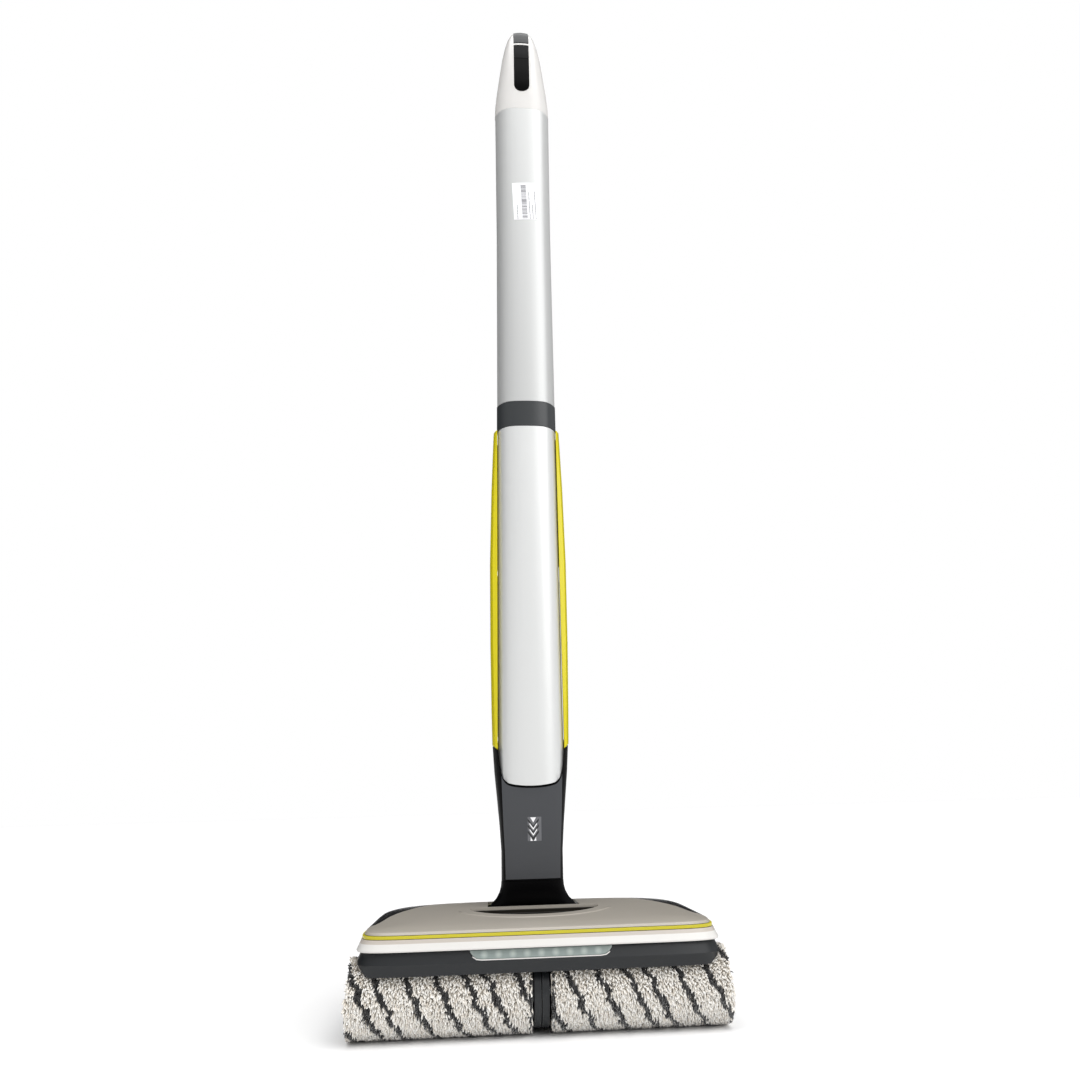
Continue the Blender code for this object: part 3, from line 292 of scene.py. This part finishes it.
# %% Metals
def metal(name, colour, roughness, stretch, scratch_mm, depth_mm):
    """Metal with tooling lines: noise drawn out along the directions whose stretch is small."""
    material = bpy.data.materials.new(name)
    material.use_nodes = True
    tree = material.node_tree
    shader = tree.nodes["Principled BSDF"]
    shader.inputs["Metallic"].default_value = 1.0
    place = add(tree, "ShaderNodeTexCoord").outputs["Object"]
    squeezed = add(tree, "ShaderNodeMapping", {"Vector": place, "Scale": stretch}).outputs[0]
    lines = add(tree, "ShaderNodeTexNoise", {"Vector": squeezed, "Scale": 1 / (scratch_mm * MM), "Detail": 3.0})
    base = linear(colour)
    darker = tuple(v * TOOLING_SHADE for v in base[:3]) + (1.0,)
    tree.links.new(ramp(tree, lines.outputs["Fac"], [(0.3, darker), (0.7, base)]), shader.inputs["Base Color"])
    rough = add(tree, "ShaderNodeMapRange", {0: lines.outputs["Fac"],
                                             3: roughness - TOOLING_POLISH, 4: roughness + TOOLING_POLISH})
    tree.links.new(rough.outputs[0], shader.inputs["Roughness"])
    bump = add(tree, "ShaderNodeBump", {"Height": lines.outputs["Fac"], "Distance": depth_mm * MM})
    tree.links.new(bump.outputs[0], shader.inputs["Normal"])
    return material


TOOLING_SHADE = 0.97
TOOLING_POLISH = 0.06
STEEL = metal("turned steel", "#BFC0C2", 0.3, (1.0, 0.1, 0.1), 0.6, 0.01)
BRONZE = metal("sintered bronze", "#9A7646", 0.4, (1.0, 1.0, 1.0), 0.5, 0.02)
BOARD = plastic("circuit board, green", "#1E5B32", 0.4)
print("metals:", [m.name for m in (STEEL, BRONZE)])

# %% [markdown]
# ## Two special plastics
# The skirt is coloured beige above a height and white below it, with a sharp line between them. Behind the frosted
# window sit nine lamps at equal steps. Each shows as a pale spot that fades with the distance from the lamp's middle.

# %% Skirt and lamp window
SKIRT_WHITE = "#D4D2CE"
SKIRT_LINE = (71.0, 71.3)
SKIRT = plastic("ABS, white below a line and beige above", SKIRT_WHITE, 0.25)
tree = SKIRT.node_tree
place = add(tree, "ShaderNodeTexCoord").outputs["Object"]
height = add(tree, "ShaderNodeSeparateXYZ", {0: place}).outputs["Z"]
upper = add(tree, "ShaderNodeMapRange", {0: height, 1: SKIRT_LINE[0] * MM, 2: SKIRT_LINE[1] * MM}).outputs[0]
# Above SKIRT_LINE the skirt is coloured beige, and below it white.
beige_above_line = add(tree, "ShaderNodeMix", {"Factor": upper, 6: linear(SKIRT_WHITE), 7: linear("#B9B1A8")},
               data_type="RGBA").outputs[2]
tree.links.new(beige_above_line, tree.nodes["Principled BSDF"].inputs["Base Color"])

FROST_COLOUR = "#848F8B"
FROST = plastic("polycarbonate, frosted", FROST_COLOUR, 0.25, 2.2, 0.05)
LAMP_STEP = 11.4
LAMP_HEIGHT = 61.6
SPOT = (0.6, 3.6)
tree = FROST.node_tree
place = add(tree, "ShaderNodeTexCoord").outputs["Object"]
axes = add(tree, "ShaderNodeSeparateXYZ", {0: place}).outputs
beside = add(tree, "ShaderNodeMath", {0: axes["X"], 1: -LAMP_STEP / 2 * MM, 2: LAMP_STEP / 2 * MM},
             operation="WRAP")
above = add(tree, "ShaderNodeMath", {0: axes["Z"], 1: LAMP_HEIGHT * MM}, operation="SUBTRACT")
offset = add(tree, "ShaderNodeCombineXYZ", {0: beside.outputs[0], 1: above.outputs[0]}).outputs[0]
away = add(tree, "ShaderNodeVectorMath", {0: offset}, operation="LENGTH").outputs["Value"]
spot = add(tree, "ShaderNodeMapRange", {0: away, 1: SPOT[0] * MM, 2: SPOT[1] * MM, 3: 1.0, 4: 0.0}).outputs[0]
lamps = add(tree, "ShaderNodeMix", {"Factor": spot, 6: linear(FROST_COLOUR), 7: linear("#A6AFAB")},
            data_type="RGBA").outputs[2]
tree.links.new(lamps, tree.nodes["Principled BSDF"].inputs["Base Color"])
print("lamps every", LAMP_STEP, "mm, skirt line at", SKIRT_LINE[0], "mm")

# %% [markdown]
# ## Dressing the CAD pieces
# The CAD surfaces are loose triangles, which shade flat and have razor edges. Real mouldings have a small
# radius on every edge, and it is what catches the light. So each visible piece is copied, its triangles
# are merged, flat neighbours are joined, and a Bevel of a few tenths of a millimetre rounds its edges.
# The copy stands for the CAD node, which stays hidden in the same place. Inner pieces only get a finish.


# %% Copies with rounded edges
def own(obj, body, material):
    """Put a finished piece in the scene, on its body, with its finish."""
    if obj.name not in bpy.context.scene.objects:
        bpy.context.scene.collection.objects.link(obj)
    obj.data.materials.clear()
    obj.data.materials.append(material)
    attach(obj, body)
    return obj


def body_of(node):
    """The moving body that a CAD node belongs to."""
    return next(name for name, members in frame["record"]["behaviour"]["bodies"].items() if node in members)


SLOTS = {entry["node"]: entry["material_slot"] for entry in frame["record"]["subparts"]}
FLAT = 0.05       # neighbours that differ by less than this many degrees are joined
SHARP = 35.0      # edges that turn by more than this many degrees are rounded


def finish_node(node, material, radius_mm):
    """A merged copy of a CAD node with its edges rounded to a radius."""
    mesh = NODES[node].data.copy()
    if "custom_normal" in mesh.attributes:
        mesh.attributes.remove(mesh.attributes["custom_normal"])
    bm = bmesh.new()
    bm.from_mesh(mesh)
    bmesh.ops.remove_doubles(bm, verts=bm.verts, dist=1e-6)
    bmesh.ops.dissolve_limit(bm, angle_limit=math.radians(FLAT), verts=bm.verts, edges=bm.edges)
    bm.to_mesh(mesh)
    bm.free()
    mesh.shade_smooth()
    mesh.set_sharp_from_angle(angle=math.radians(SHARP))
    piece = bpy.data.objects.new(f"{node}_finished", mesh)
    bpy.context.scene.collection.objects.link(piece)
    if radius_mm:
        bevel = piece.modifiers.new("rounded edges", "BEVEL")
        bevel.width = radius_mm * MM
        bevel.segments = 2
        bevel.limit_method = "ANGLE"
        bevel.angle_limit = math.radians(SHARP)
        bevel.harden_normals = True
    own(piece, body_of(node), material)
    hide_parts(node)


print("slots:", sorted(set(SLOTS.values())))

# %% [markdown]
# Each outer piece gets its finish and the radius of its edges in millimetres. A radius of nought leaves the
# edges as they are, on shapes that are round already, very small or hardly seen.

# %% Finishes
ROUNDED = {
    "top_cover": (COVER, 0.5), "trim_ring": (TRIM, 0.3), "bumper_ring": (CHARCOAL, 0.5),
    "corner_panel_left": (CORNER, 0.3), "corner_panel_right": (CORNER, 0.3), "light_lens": (FROST, 0.2),
    "release_pedal": (PEDAL, 0.6), "gearcase_left": (CHARCOAL, 0.5), "gearcase_right": (CHARCOAL, 0.5),
    "dirty_tank": (TANK, 0.6), "yoke": (BLACK, 0.0), "neck_shell": (BLACK, 0.0), "neck_plate": (NECK, 0.3),
    "collar": (COLLAR, 0.3), "rear_cover": (CHARCOAL, 0.4), "clean_tank": (TANK, 0.5),
    "tank_cap": (YELLOW, 0.5), "tank_latch": (YELLOW, 0.0), "socket_flap": (RUBBER, 0.0),
    "handle_grip": (BLACK, 0.0), "boost_button": (BLACK, 0.3), "power_button": (BUTTON, 0.3),
    "display_window": (PIANO, 0.2), "cover_skirt": (SKIRT, 0.3), "front_panel": (PANEL, 0.3),
    "side_rail_left": (YELLOW, 0.3), "side_rail_right": (YELLOW, 0.3), "handle_tube": (LACQUER, 0.0),
    "handle_shell": (WHITE, 0.4), "head_chassis": (BLACK, 0.3), "body_frame": (BLACK, 0.0),
}
for node, (material, radius) in ROUNDED.items():
    finish_node(node, material, radius)

INNER = {"board": BOARD, "battery": SLEEVE, "gear": NYLON, "steel": STEEL, "bronze": BRONZE, "black": BLACK}
for node, obj in NODES.items():
    if node not in ROUNDED and not node.startswith("roller_pile"):
        obj.data.materials.clear()
        obj.data.materials.append(INNER[SLOTS[node]])
print("rounded:", len(ROUNDED))

# %% [markdown]
# ## Small things on the surfaces
# A label on the tube, a decal on the neck, the window's rim, the raised lip in front of the foot pedal and
# the line round the controls all lie on CAD surfaces. A ray from in front or from above finds the surface
# under each point, so they follow it.

# %% Finding a surface
SURFACES = {}


def surface(node):
    """A ray-casting tree of a CAD node, made once."""
    if node not in SURFACES:
        mesh = NODES[node].data
        places = [NODES[node].matrix_world @ v.co for v in mesh.vertices]
        SURFACES[node] = BVHTree.FromPolygons(places, [tuple(p.vertices) for p in mesh.polygons])
    return SURFACES[node]


def on_front(node, x, z, lift):
    """The point of a node's front at x and z in millimetres, lifted off by the lift."""
    hit = surface(node).ray_cast(Vector((x * MM, -1.0, z * MM)), Vector((0, 1, 0)))[0]
    return (hit.x, hit.y - lift * MM, hit.z)


def on_top(node, x, y, lift):
    """The point of a node's top at x and y in millimetres, lifted off by the lift."""
    hit = surface(node).ray_cast(Vector((x * MM, y * MM, 1.0)), Vector((0, 0, -1)))[0]
    return (hit.x, hit.y, hit.z + lift * MM)


print("front of the tube at 900 mm:", [round(v, 4) for v in on_front("handle_tube", 0, 900, 0)])

# %% [markdown]
# Printed shapes are flat outlines laid on a surface. A rim or a lip is a cord: an elliptical ring swept
# along a path. The ring is spanned by the direction across the path and by a fixed up direction.


# %% Outlines and cords
def make_piece(name, verts, faces, body, material):
    """A new piece from points in metres and faces."""
    mesh = bpy.data.meshes.new(name)
    mesh.from_pydata(verts, [], faces)
    mesh.update()
    mesh.shade_smooth()
    return own(bpy.data.objects.new(name, mesh), body, material)


def cord(name, path, across, up, body, material, sides=8):
    """A tube of elliptical section along a path in metres, closed at both ends."""
    verts = []
    faces = []
    up = Vector(up)
    for k, place in enumerate(path):
        along = Vector(path[min(k + 1, len(path) - 1)]) - Vector(path[max(k - 1, 0)])
        over = along.cross(up).normalized()
        for i in range(sides):
            a = 2 * math.pi * i / sides
            ring = over * across[0] * MM * math.cos(a) + up * across[1] * MM * math.sin(a)
            verts.append(Vector(place) + ring)
    for k in range(len(path) - 1):
        for i in range(sides):
            j = (i + 1) % sides
            faces.append((k * sides + i, k * sides + j, (k + 1) * sides + j, (k + 1) * sides + i))
    faces.append(tuple(range(sides - 1, -1, -1)))
    faces.append(tuple(len(verts) - sides + i for i in range(sides)))
    return make_piece(name, verts, faces, body, material)


def patches(name, node, outlines, centre, lean, lift, material):
    """Flat outlines in millimetres, leant about a centre and laid on a node's front."""
    verts = []
    faces = []
    c, s = math.cos(math.radians(lean)), math.sin(math.radians(lean))
    for outline in outlines:
        faces.append(tuple(len(verts) + i for i in range(len(outline))))
        for u, v in outline:
            verts.append(on_front(node, centre[0] + u * c - v * s, centre[1] + u * s + v * c, lift))
    return make_piece(name, verts, faces, "stick", material)


def box(u0, u1, v0, v1):
    """A rectangle's outline."""
    return [(u0, v0), (u1, v0), (u1, v1), (u0, v1)]


print("a box has", len(box(0, 1, 0, 1)), "corners")

# %% [markdown]
# ## Label
# The label is upright strips side by side, so that it curves with the tube. Its printing is generic: a
# column of bars of random thickness, and four lines of dashes that stand for small print.

# %% Label
LABEL_AT = (1.5, 904.0)
LABEL_LEAN = 2.5
LABEL_HALF = (15.0, 29.0)
LABEL_STRIPS = 12
LABEL_LIFT = 0.15
INK_LIFT = 0.25
BARS = (-4.0, 2.6)
DASH_WIDTH = 0.75
DASH_LINES = ((-10.4, -28, -6), (5.4, -28, 12), (9.2, -28, -8), (12.9, -28, 14))

half_wide, half_high = LABEL_HALF
strip = 2 * half_wide / LABEL_STRIPS
strips = []
for i in range(LABEL_STRIPS):
    strips.append(box(strip * i - half_wide, strip * (i + 1) - half_wide, -half_high, half_high))
patches("label", "handle_tube", strips, LABEL_AT, LABEL_LEAN, LABEL_LIFT, PAPER)
draw = np.random.default_rng(7)
marks = []
v = -27.0
while v < 25.0:
    thick = draw.uniform(0.3, 1.1)
    marks.append(box(*BARS, v, v + thick))
    v += thick + draw.uniform(0.35, 1.3)
for u, low, high in DASH_LINES:
    v = low
    while v < high:
        dash = draw.uniform(0.8, 2.6)
        marks.append(box(u, u + DASH_WIDTH, v, v + dash))
        v += dash + draw.uniform(0.4, 0.8)
patches("label_marks", "handle_tube", marks, LABEL_AT, LABEL_LEAN, INK_LIFT, INK)
print("label marks:", len(marks))

# %% [markdown]
# ## Decal
# The decal on the neck shows black and white chevrons that point down, on a paler patch. Each chevron is two
# slanting bars that meet in the middle.

# %% Decal
DECAL_AT = (0.6, 151.0)


def chevrons(tops, half, drop, thick):
    """V shapes that point down: two slanting bars each."""
    found = []
    for top in tops:
        for side in (1, -1):
            outer, inner = side * -half, 0
            found.append([(outer, top), (inner, top - drop), (inner, top - drop - thick), (outer, top - thick)])
    return found


patch = [box(-5.5, 0, -11, 11), box(0, 8, -11, 11)]
dark = chevrons((9.6, 4.2, -1.2), 5.4, 6.6, 2.3)
light = chevrons((5.6, 0.2), 3.6, 4.8, 1.7)
light += [[(-2.8, 10.6), (2.8, 10.6), (0, 5.8)], [(-2.9, -10.9), (-0.4, -10.9), (-2.6, -7.2)],
          [(0.4, -10.9), (2.9, -10.9), (2.6, -7.2)]]
patches("decal_patch", "neck_plate", patch, DECAL_AT, 0, 0.1, PATCH)
patches("decal_dark", "neck_plate", dark, DECAL_AT, 0, 0.16, DARK_INK)
patches("decal_light", "neck_plate", light, DECAL_AT, 0, 0.2, PAPER)
print("chevron bars:", len(dark) + len(light))

# %% [markdown]
# ## Rims and lip
# The window's rim follows its lower edge. The lip is an elliptical arc round the pedal's front. The line
# round the controls goes down one side of the slot, round its end and up the other side.

# %% Rims and lip
RIM_DROP = 0.3
corner = [(-57.2, 64.6), (-56.6, 63.2), (-54.7, 60.7), (-51.6, 58.8), (-47, 58.3)]
window = corner + [(x, 58.3) for x in range(-40, 41, 8)] + [(-x, z) for x, z in corner[::-1]]
path = [on_front("bumper_ring", x * 1.004, z - RIM_DROP, 0.15) for x, z in window]
cord("window_rim", path, (0.42, 0.3), (0, -1, 0), "head", WHITE)

LIP_MIDDLE = 5
LIP_HALF = (70, 69)
arc = [math.radians(180 + 6 * i) for i in range(2, 29)]
lip = [(LIP_HALF[0] * math.cos(a), LIP_MIDDLE + LIP_HALF[1] * math.sin(a)) for a in arc]
path = [on_top("top_cover", x, y, -0.25) for x, y in lip]
cord("pedal_lip", path, (2.2, 0.75), (0, 0, 1), "head", COVER, 12)

SLOT_RADIUS = 12.4
SLOT_END = 1099.5
bend = [math.radians(-90 + 15 * i) for i in range(7)]
slot_side = [(SLOT_RADIUS * math.cos(a), SLOT_END + SLOT_RADIUS * math.sin(a)) for a in bend]
slot_side += [(SLOT_RADIUS, z) for z in range(1104, 1180, 8)]
slot_line = [(-x, z) for x, z in slot_side[:0:-1]] + slot_side
path = [on_front("handle_shell", x, z, 0.0) for x, z in slot_line]
cord("control_rim", path, (0.45, 0.35), (0, -1, 0), "stick", WHITE)
print("points of the control rim:", len(path))

# %% [markdown]
# ## The pile of the rollers
# Each roller wears a sleeve of microfibre tufts, cut about 6 mm long, that lean the way the roller
# turns. Most are cream. Four lines of black tufts wind round the sleeve as screw threads do. Every tuft
# here is a small tapered body of its own, because its tip and the shadow under it are what make the
# sleeve look shaggy. Hair curves would be lighter, but an exported model needs a mesh.
#
# A tuft is a bent line with a three-sided section. All of them are worked out together: arrays hold each
# tuft's place on the sleeve, lean, length and width, and the points follow from those.

# %% Tufts and threads
ROLLER_RADIUS = 30.0
ROLLER_Y = 85.0
INNER_X = 7.3
OUTER_X = 154.0
PILE_ROOT = 23.6
STATIONS = np.array([0.0, 0.42, 0.78, 1.0])    # places along a tuft, from root to tip
TAPER = np.array([0.75, 1.0, 0.7, 0.0])        # its width there, as a share of its full width
BEND_POWER = 1.5
STRIPE_LEAD = 88.0
STRIPE_PLACES = (0.0, 16.3, 40.6, 64.9)
STRIPE_FIRST = {"left": -149.3, "right": -21.2}
STRIPE_TOP = 37.0                              # degrees above the axle, in front, where places are counted
STRIPE_HALF = 2.4


def tuft_points(x, angle, lean, sway, length, width, axle_y):
    """Points of all tufts: a root on the sleeve's backing, then a line that rises outwards by a quarter
    sine and leans by a power of its share, carrying a triangle that tapers to a tip."""
    rise = PILE_ROOT + length[:, None] * np.sin(STATIONS * math.pi / 2)
    turn = angle[:, None] + lean[:, None] * STATIONS ** BEND_POWER / ROLLER_RADIUS
    line_x = x[:, None] + sway[:, None] * STATIONS ** BEND_POWER
    corners = np.array([0, 2 * math.pi / 3, 4 * math.pi / 3])
    swell = width[:, None, None] * TAPER[None, :, None] / 2
    px = line_x[:, :, None] + swell * np.cos(corners)[None, None, :]
    pt = turn[:, :, None] + swell * np.sin(corners)[None, None, :] / ROLLER_RADIUS
    pr = rise[:, :, None] + 0 * px
    return np.stack([px, axle_y + pr * np.cos(pt), ROLLER_RADIUS + pr * np.sin(pt)], axis=-1)


def stripe_share(x, angle, first):
    """1 on a black thread, 0 off it: the thread moves along the roller by its lead in one turn, and
    wanders to either side of its line by a millimetre or two."""
    height = np.degrees(np.arctan2(np.sin(angle), -np.cos(angle)))
    wander = 1.1 * np.sin(9 * angle + 0.05 * x) + 0.7 * np.sin(16 * angle - 0.11 * x)
    along = x - first - STRIPE_LEAD * (STRIPE_TOP - height) / 360 + wander
    share = np.zeros(len(x))
    for place in STRIPE_PLACES:
        gap = np.abs((along - place + STRIPE_LEAD / 2) % STRIPE_LEAD - STRIPE_LEAD / 2)
        share = np.maximum(share, gap < STRIPE_HALF)
    return share


print("a sleeve has", len(STRIPE_PLACES), "black threads with a lead of", STRIPE_LEAD, "mm")

# %% [markdown]
# Tufts stand in rows along the roller, every second row shifted by half a step, and each is jittered. Next to the
# gearcase some are black: painted shade of the gap between the sleeve and the gearcase. Those under the roller are
# pressed flat a little above the floor, and none crosses into the gearcase.

# %% A sleeve's tufts
TUFT_COLUMNS = 96
TUFT_ROWS = 120
EDGE_ROOM = 0.5
ROOT_EDGE = 0.4
LEAN = (3.6, 1.3)            # mean and spread, in millimetres, as are the next two
SWAY = (0.0, 1.15)
LENGTH = (5.9, 0.55)
LENGTH_RANGE = (4.0, 6.5)
WIDTH_RANGE = (1.2, 2.3)
# Painted shade: tufts this close to the gearcase turn black at this share, for the shade in the gap there.
GEARCASE_SHADE_WIDTH = 3.0
GEARCASE_SHADE_SHARE = 0.55
GEARCASE_SIDE = 7.1
PRESSED = (0.15, 0.1)        # lowest height above the floor, and how much it varies


def grow_tufts(draw, side, way, axle_y, first):
    """All tufts of a sleeve: ten points each, whether each is black, and its tone."""
    count = TUFT_COLUMNS * TUFT_ROWS
    column, line = np.meshgrid(np.arange(TUFT_COLUMNS), np.arange(TUFT_ROWS), indexing="ij")
    column, line = column.ravel(), line.ravel()
    step = (OUTER_X - INNER_X - 2 * EDGE_ROOM) / TUFT_COLUMNS
    x = INNER_X + EDGE_ROOM + step * (column + 0.5 * (line % 2) + draw.uniform(0.0, 0.6, count))
    angle = 2 * math.pi / TUFT_ROWS * (line + draw.uniform(-0.35, 0.35, count))
    x = side * np.clip(x, INNER_X + ROOT_EDGE, OUTER_X - ROOT_EDGE)
    lean = way * draw.normal(*LEAN, count)
    sway = draw.normal(*SWAY, count)
    length = np.clip(draw.normal(*LENGTH, count), *LENGTH_RANGE)
    width = draw.uniform(*WIDTH_RANGE, count)
    dark = stripe_share(x + draw.normal(0, 0.5, count), angle + lean / ROLLER_RADIUS * 0.6, first)
    # Black tufts beside the gearcase are painted shade of the gap, not a black yarn.
    gearcase_shade = (np.abs(x) < INNER_X + GEARCASE_SHADE_WIDTH) & (draw.uniform(0, 1, count) < GEARCASE_SHADE_SHARE)
    dark = np.maximum(dark, gearcase_shade)
    tone = draw.uniform(0, 1, count)
    points = tuft_points(x, angle, lean, sway, length, width, axle_y)
    points[..., 0] = side * np.maximum(side * points[..., 0], GEARCASE_SIDE)
    pressed = PRESSED[0] + PRESSED[1] * draw.uniform(0, 1, points.shape[:-1])
    points[..., 2] = np.maximum(points[..., 2], pressed)
    rings = points[:, :3].reshape(count, 9, 3)
    tips = points[:, 3].mean(axis=1, keepdims=True)
    return np.concatenate([rings, tips], axis=1).reshape(-1, 3), dark, tone


print("tufts on a sleeve:", TUFT_COLUMNS * TUFT_ROWS)

# %% [markdown]
# Under the tufts lies a plain tube, so that no gap shows the hollow inside. A tuft's faces join its three
# triangular rings and close the root and the tip.

# %% Backing tube and mesh
BACKING_RADIUS = 25.2
TUBE_CELLS = 72
TUBE_SIDES = 48
TUFT_POINTS = 10
TUFT_QUADS = [(i, (i + 1) % 3, 3 + (i + 1) % 3, 3 + i) for i in range(3)]
TUFT_QUADS += [(3 + i, 3 + (i + 1) % 3, 6 + (i + 1) % 3, 6 + i) for i in range(3)]
TUFT_TRIS = [(6 + i, 6 + (i + 1) % 3, 9) for i in range(3)] + [(2, 1, 0)]


def backing_tube(side, axle_y):
    """The tube's points, the turn of each about the axle, and its faces."""
    along = side * np.linspace(INNER_X + 0.2, OUTER_X - 0.8, TUBE_CELLS + 1)
    around = np.arange(TUBE_SIDES) * 2 * math.pi / TUBE_SIDES
    x, turn = np.meshgrid(along, around, indexing="ij")
    places = np.stack([x, axle_y + BACKING_RADIUS * np.cos(turn),
                       ROLLER_RADIUS + BACKING_RADIUS * np.sin(turn)], axis=-1).reshape(-1, 3)
    ring = np.arange(TUBE_CELLS)[:, None] * TUBE_SIDES
    here = ring + np.arange(TUBE_SIDES)[None]
    beside = ring + (np.arange(TUBE_SIDES)[None] + 1) % TUBE_SIDES
    faces = np.stack([here, beside, beside + TUBE_SIDES, here + TUBE_SIDES], axis=-1).reshape(-1, 4)
    return places, turn.ravel(), faces


def mesh_from_arrays(name, verts, quads, tris):
    """A mesh from an array of points, one of four-sided faces and one of triangles."""
    mesh = bpy.data.meshes.new(name)
    mesh.vertices.add(len(verts))
    mesh.vertices.foreach_set("co", verts.ravel())
    mesh.loops.add(quads.size + tris.size)
    mesh.loops.foreach_set("vertex_index", np.concatenate([quads.ravel(), tris.ravel()]))
    mesh.polygons.add(len(quads) + len(tris))
    starts = np.concatenate([np.arange(len(quads)) * 4, quads.size + np.arange(len(tris)) * 3])
    mesh.polygons.foreach_set("loop_start", starts)
    mesh.update(calc_edges=True)
    mesh.validate()
    mesh.shade_smooth()
    return mesh


def set_values(mesh, name, values):
    """A number for each vertex."""
    attribute = mesh.attributes.new(name, "FLOAT", "POINT")
    attribute.data.foreach_set("value", np.asarray(values, np.float32))


def make_pile(row, word, side, seed):
    """One sleeve: its tufts and its backing tube in one mesh, on its roller."""
    axle_y = -ROLLER_Y if row == "front" else ROLLER_Y
    way = 1.0 if row == "front" else -1.0
    first = STRIPE_FIRST[word]
    tufts, dark, tone = grow_tufts(np.random.default_rng(seed), side, way, axle_y, first)
    tube, tube_turn, tube_quads = backing_tube(side, axle_y)
    count = len(tone)
    base = np.arange(count)[:, None, None] * TUFT_POINTS
    quads = np.concatenate([(base + np.array(TUFT_QUADS)[None]).reshape(-1, 4), tube_quads + len(tufts)])
    tris = (base + np.array(TUFT_TRIS)[None]).reshape(-1, 3)
    mesh = mesh_from_arrays(f"pile_{row}_{word}", np.concatenate([tufts * MM, tube * MM]), quads, tris)
    tube_dark = stripe_share(tube[:, 0], tube_turn, first)
    # The backing tube takes a middle tone and, as painted shade, the darker colour of a point 0.3 of the way up a tuft.
    backing_tone_and_painted_shade = np.full(len(tube), 0.3)
    along = np.tile(np.repeat(STATIONS, (3, 3, 3, 1)), count)
    set_values(mesh, "dark", np.concatenate([np.repeat(dark, TUFT_POINTS), tube_dark]))
    set_values(mesh, "tone", np.concatenate([np.repeat(tone, TUFT_POINTS), backing_tone_and_painted_shade]))
    set_values(mesh, "along", np.concatenate([along, backing_tone_and_painted_shade]))
    bm = bmesh.new()
    bm.from_mesh(mesh)
    bmesh.ops.recalc_face_normals(bm, faces=bm.faces)
    bm.to_mesh(mesh)
    bm.free()
    piece = bpy.data.objects.new(f"pile_{row}_{word}", mesh)
    own(piece, f"roller_{row}_{word}", PILE)
    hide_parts(f"roller_pile_{row}_{word}")
    return piece


print("faces of a backing tube:", TUBE_CELLS * TUBE_SIDES)

# %% [markdown]
# ## Microfibre
# Microfibre is a matte polyester yarn. Cream tufts differ a little from each other, and each tuft's colour is painted
# darker towards its root: painted shade, on top of the real shadow between the tufts. The fine fibres give a soft sheen
# at grazing angles. The three numbers stored on each tuft say whether it is black (on a black thread, or as painted
# shade by the gearcase), how far along it a point is, and its own tone.

# %% Pile material and the four sleeves
PILE = bpy.data.materials.new("microfibre pile, cream and black")
PILE.use_nodes = True
tree = PILE.node_tree
shader = tree.nodes["Principled BSDF"]
tone = add(tree, "ShaderNodeAttribute", attribute_name="tone").outputs["Fac"]
along = add(tree, "ShaderNodeAttribute", attribute_name="along").outputs["Fac"]
dark = add(tree, "ShaderNodeAttribute", attribute_name="dark").outputs["Fac"]
cream = ramp(tree, tone, [(0.0, linear("#E9E1D6")), (0.4, linear("#F8F4EC")), (1.0, linear("#FFFDF9"))])
# Painted shade: the cream darkens from each tuft's tip down to its root.
painted_root_shade = ramp(tree, along, [(0.0, linear("#EAE6DF")), (0.4, linear("#F8F6F2")), (0.8, (1, 1, 1, 1))])
cream_with_painted_shade = add(tree, "ShaderNodeMix", {"Factor": 1.0, 6: cream, 7: painted_root_shade}, data_type="RGBA",
                blend_type="MULTIPLY").outputs[2]
black_yarn = ramp(tree, tone, [(0.0, linear("#050405")), (1.0, linear("#141213"))])
yarn = add(tree, "ShaderNodeMix", {"Factor": dark, 6: cream_with_painted_shade, 7: black_yarn}, data_type="RGBA").outputs[2]
tree.links.new(yarn, shader.inputs["Base Color"])
shader.inputs["Roughness"].default_value = 0.85
shader.inputs["Sheen Weight"].default_value = 0.5
shader.inputs["Sheen Roughness"].default_value = 0.5

SEEDS = {("front", "left"): 1, ("front", "right"): 2, ("rear", "left"): 3, ("rear", "right"): 4}
for (row, word), seed in SEEDS.items():
    made = make_pile(row, word, -1 if word == "left" else 1, seed)
    print(made.name, len(made.data.polygons), "faces")

# %% [markdown]
# ## Sizes
# The new pieces' box should match the CAD's box to a millimetre or two, since only the tufts stand past the CAD. The
# box of everything shown is printed.

# %% Sizes and the end
low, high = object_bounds()
print("visual box:", [round(v, 4) for v in (*low, *high)])
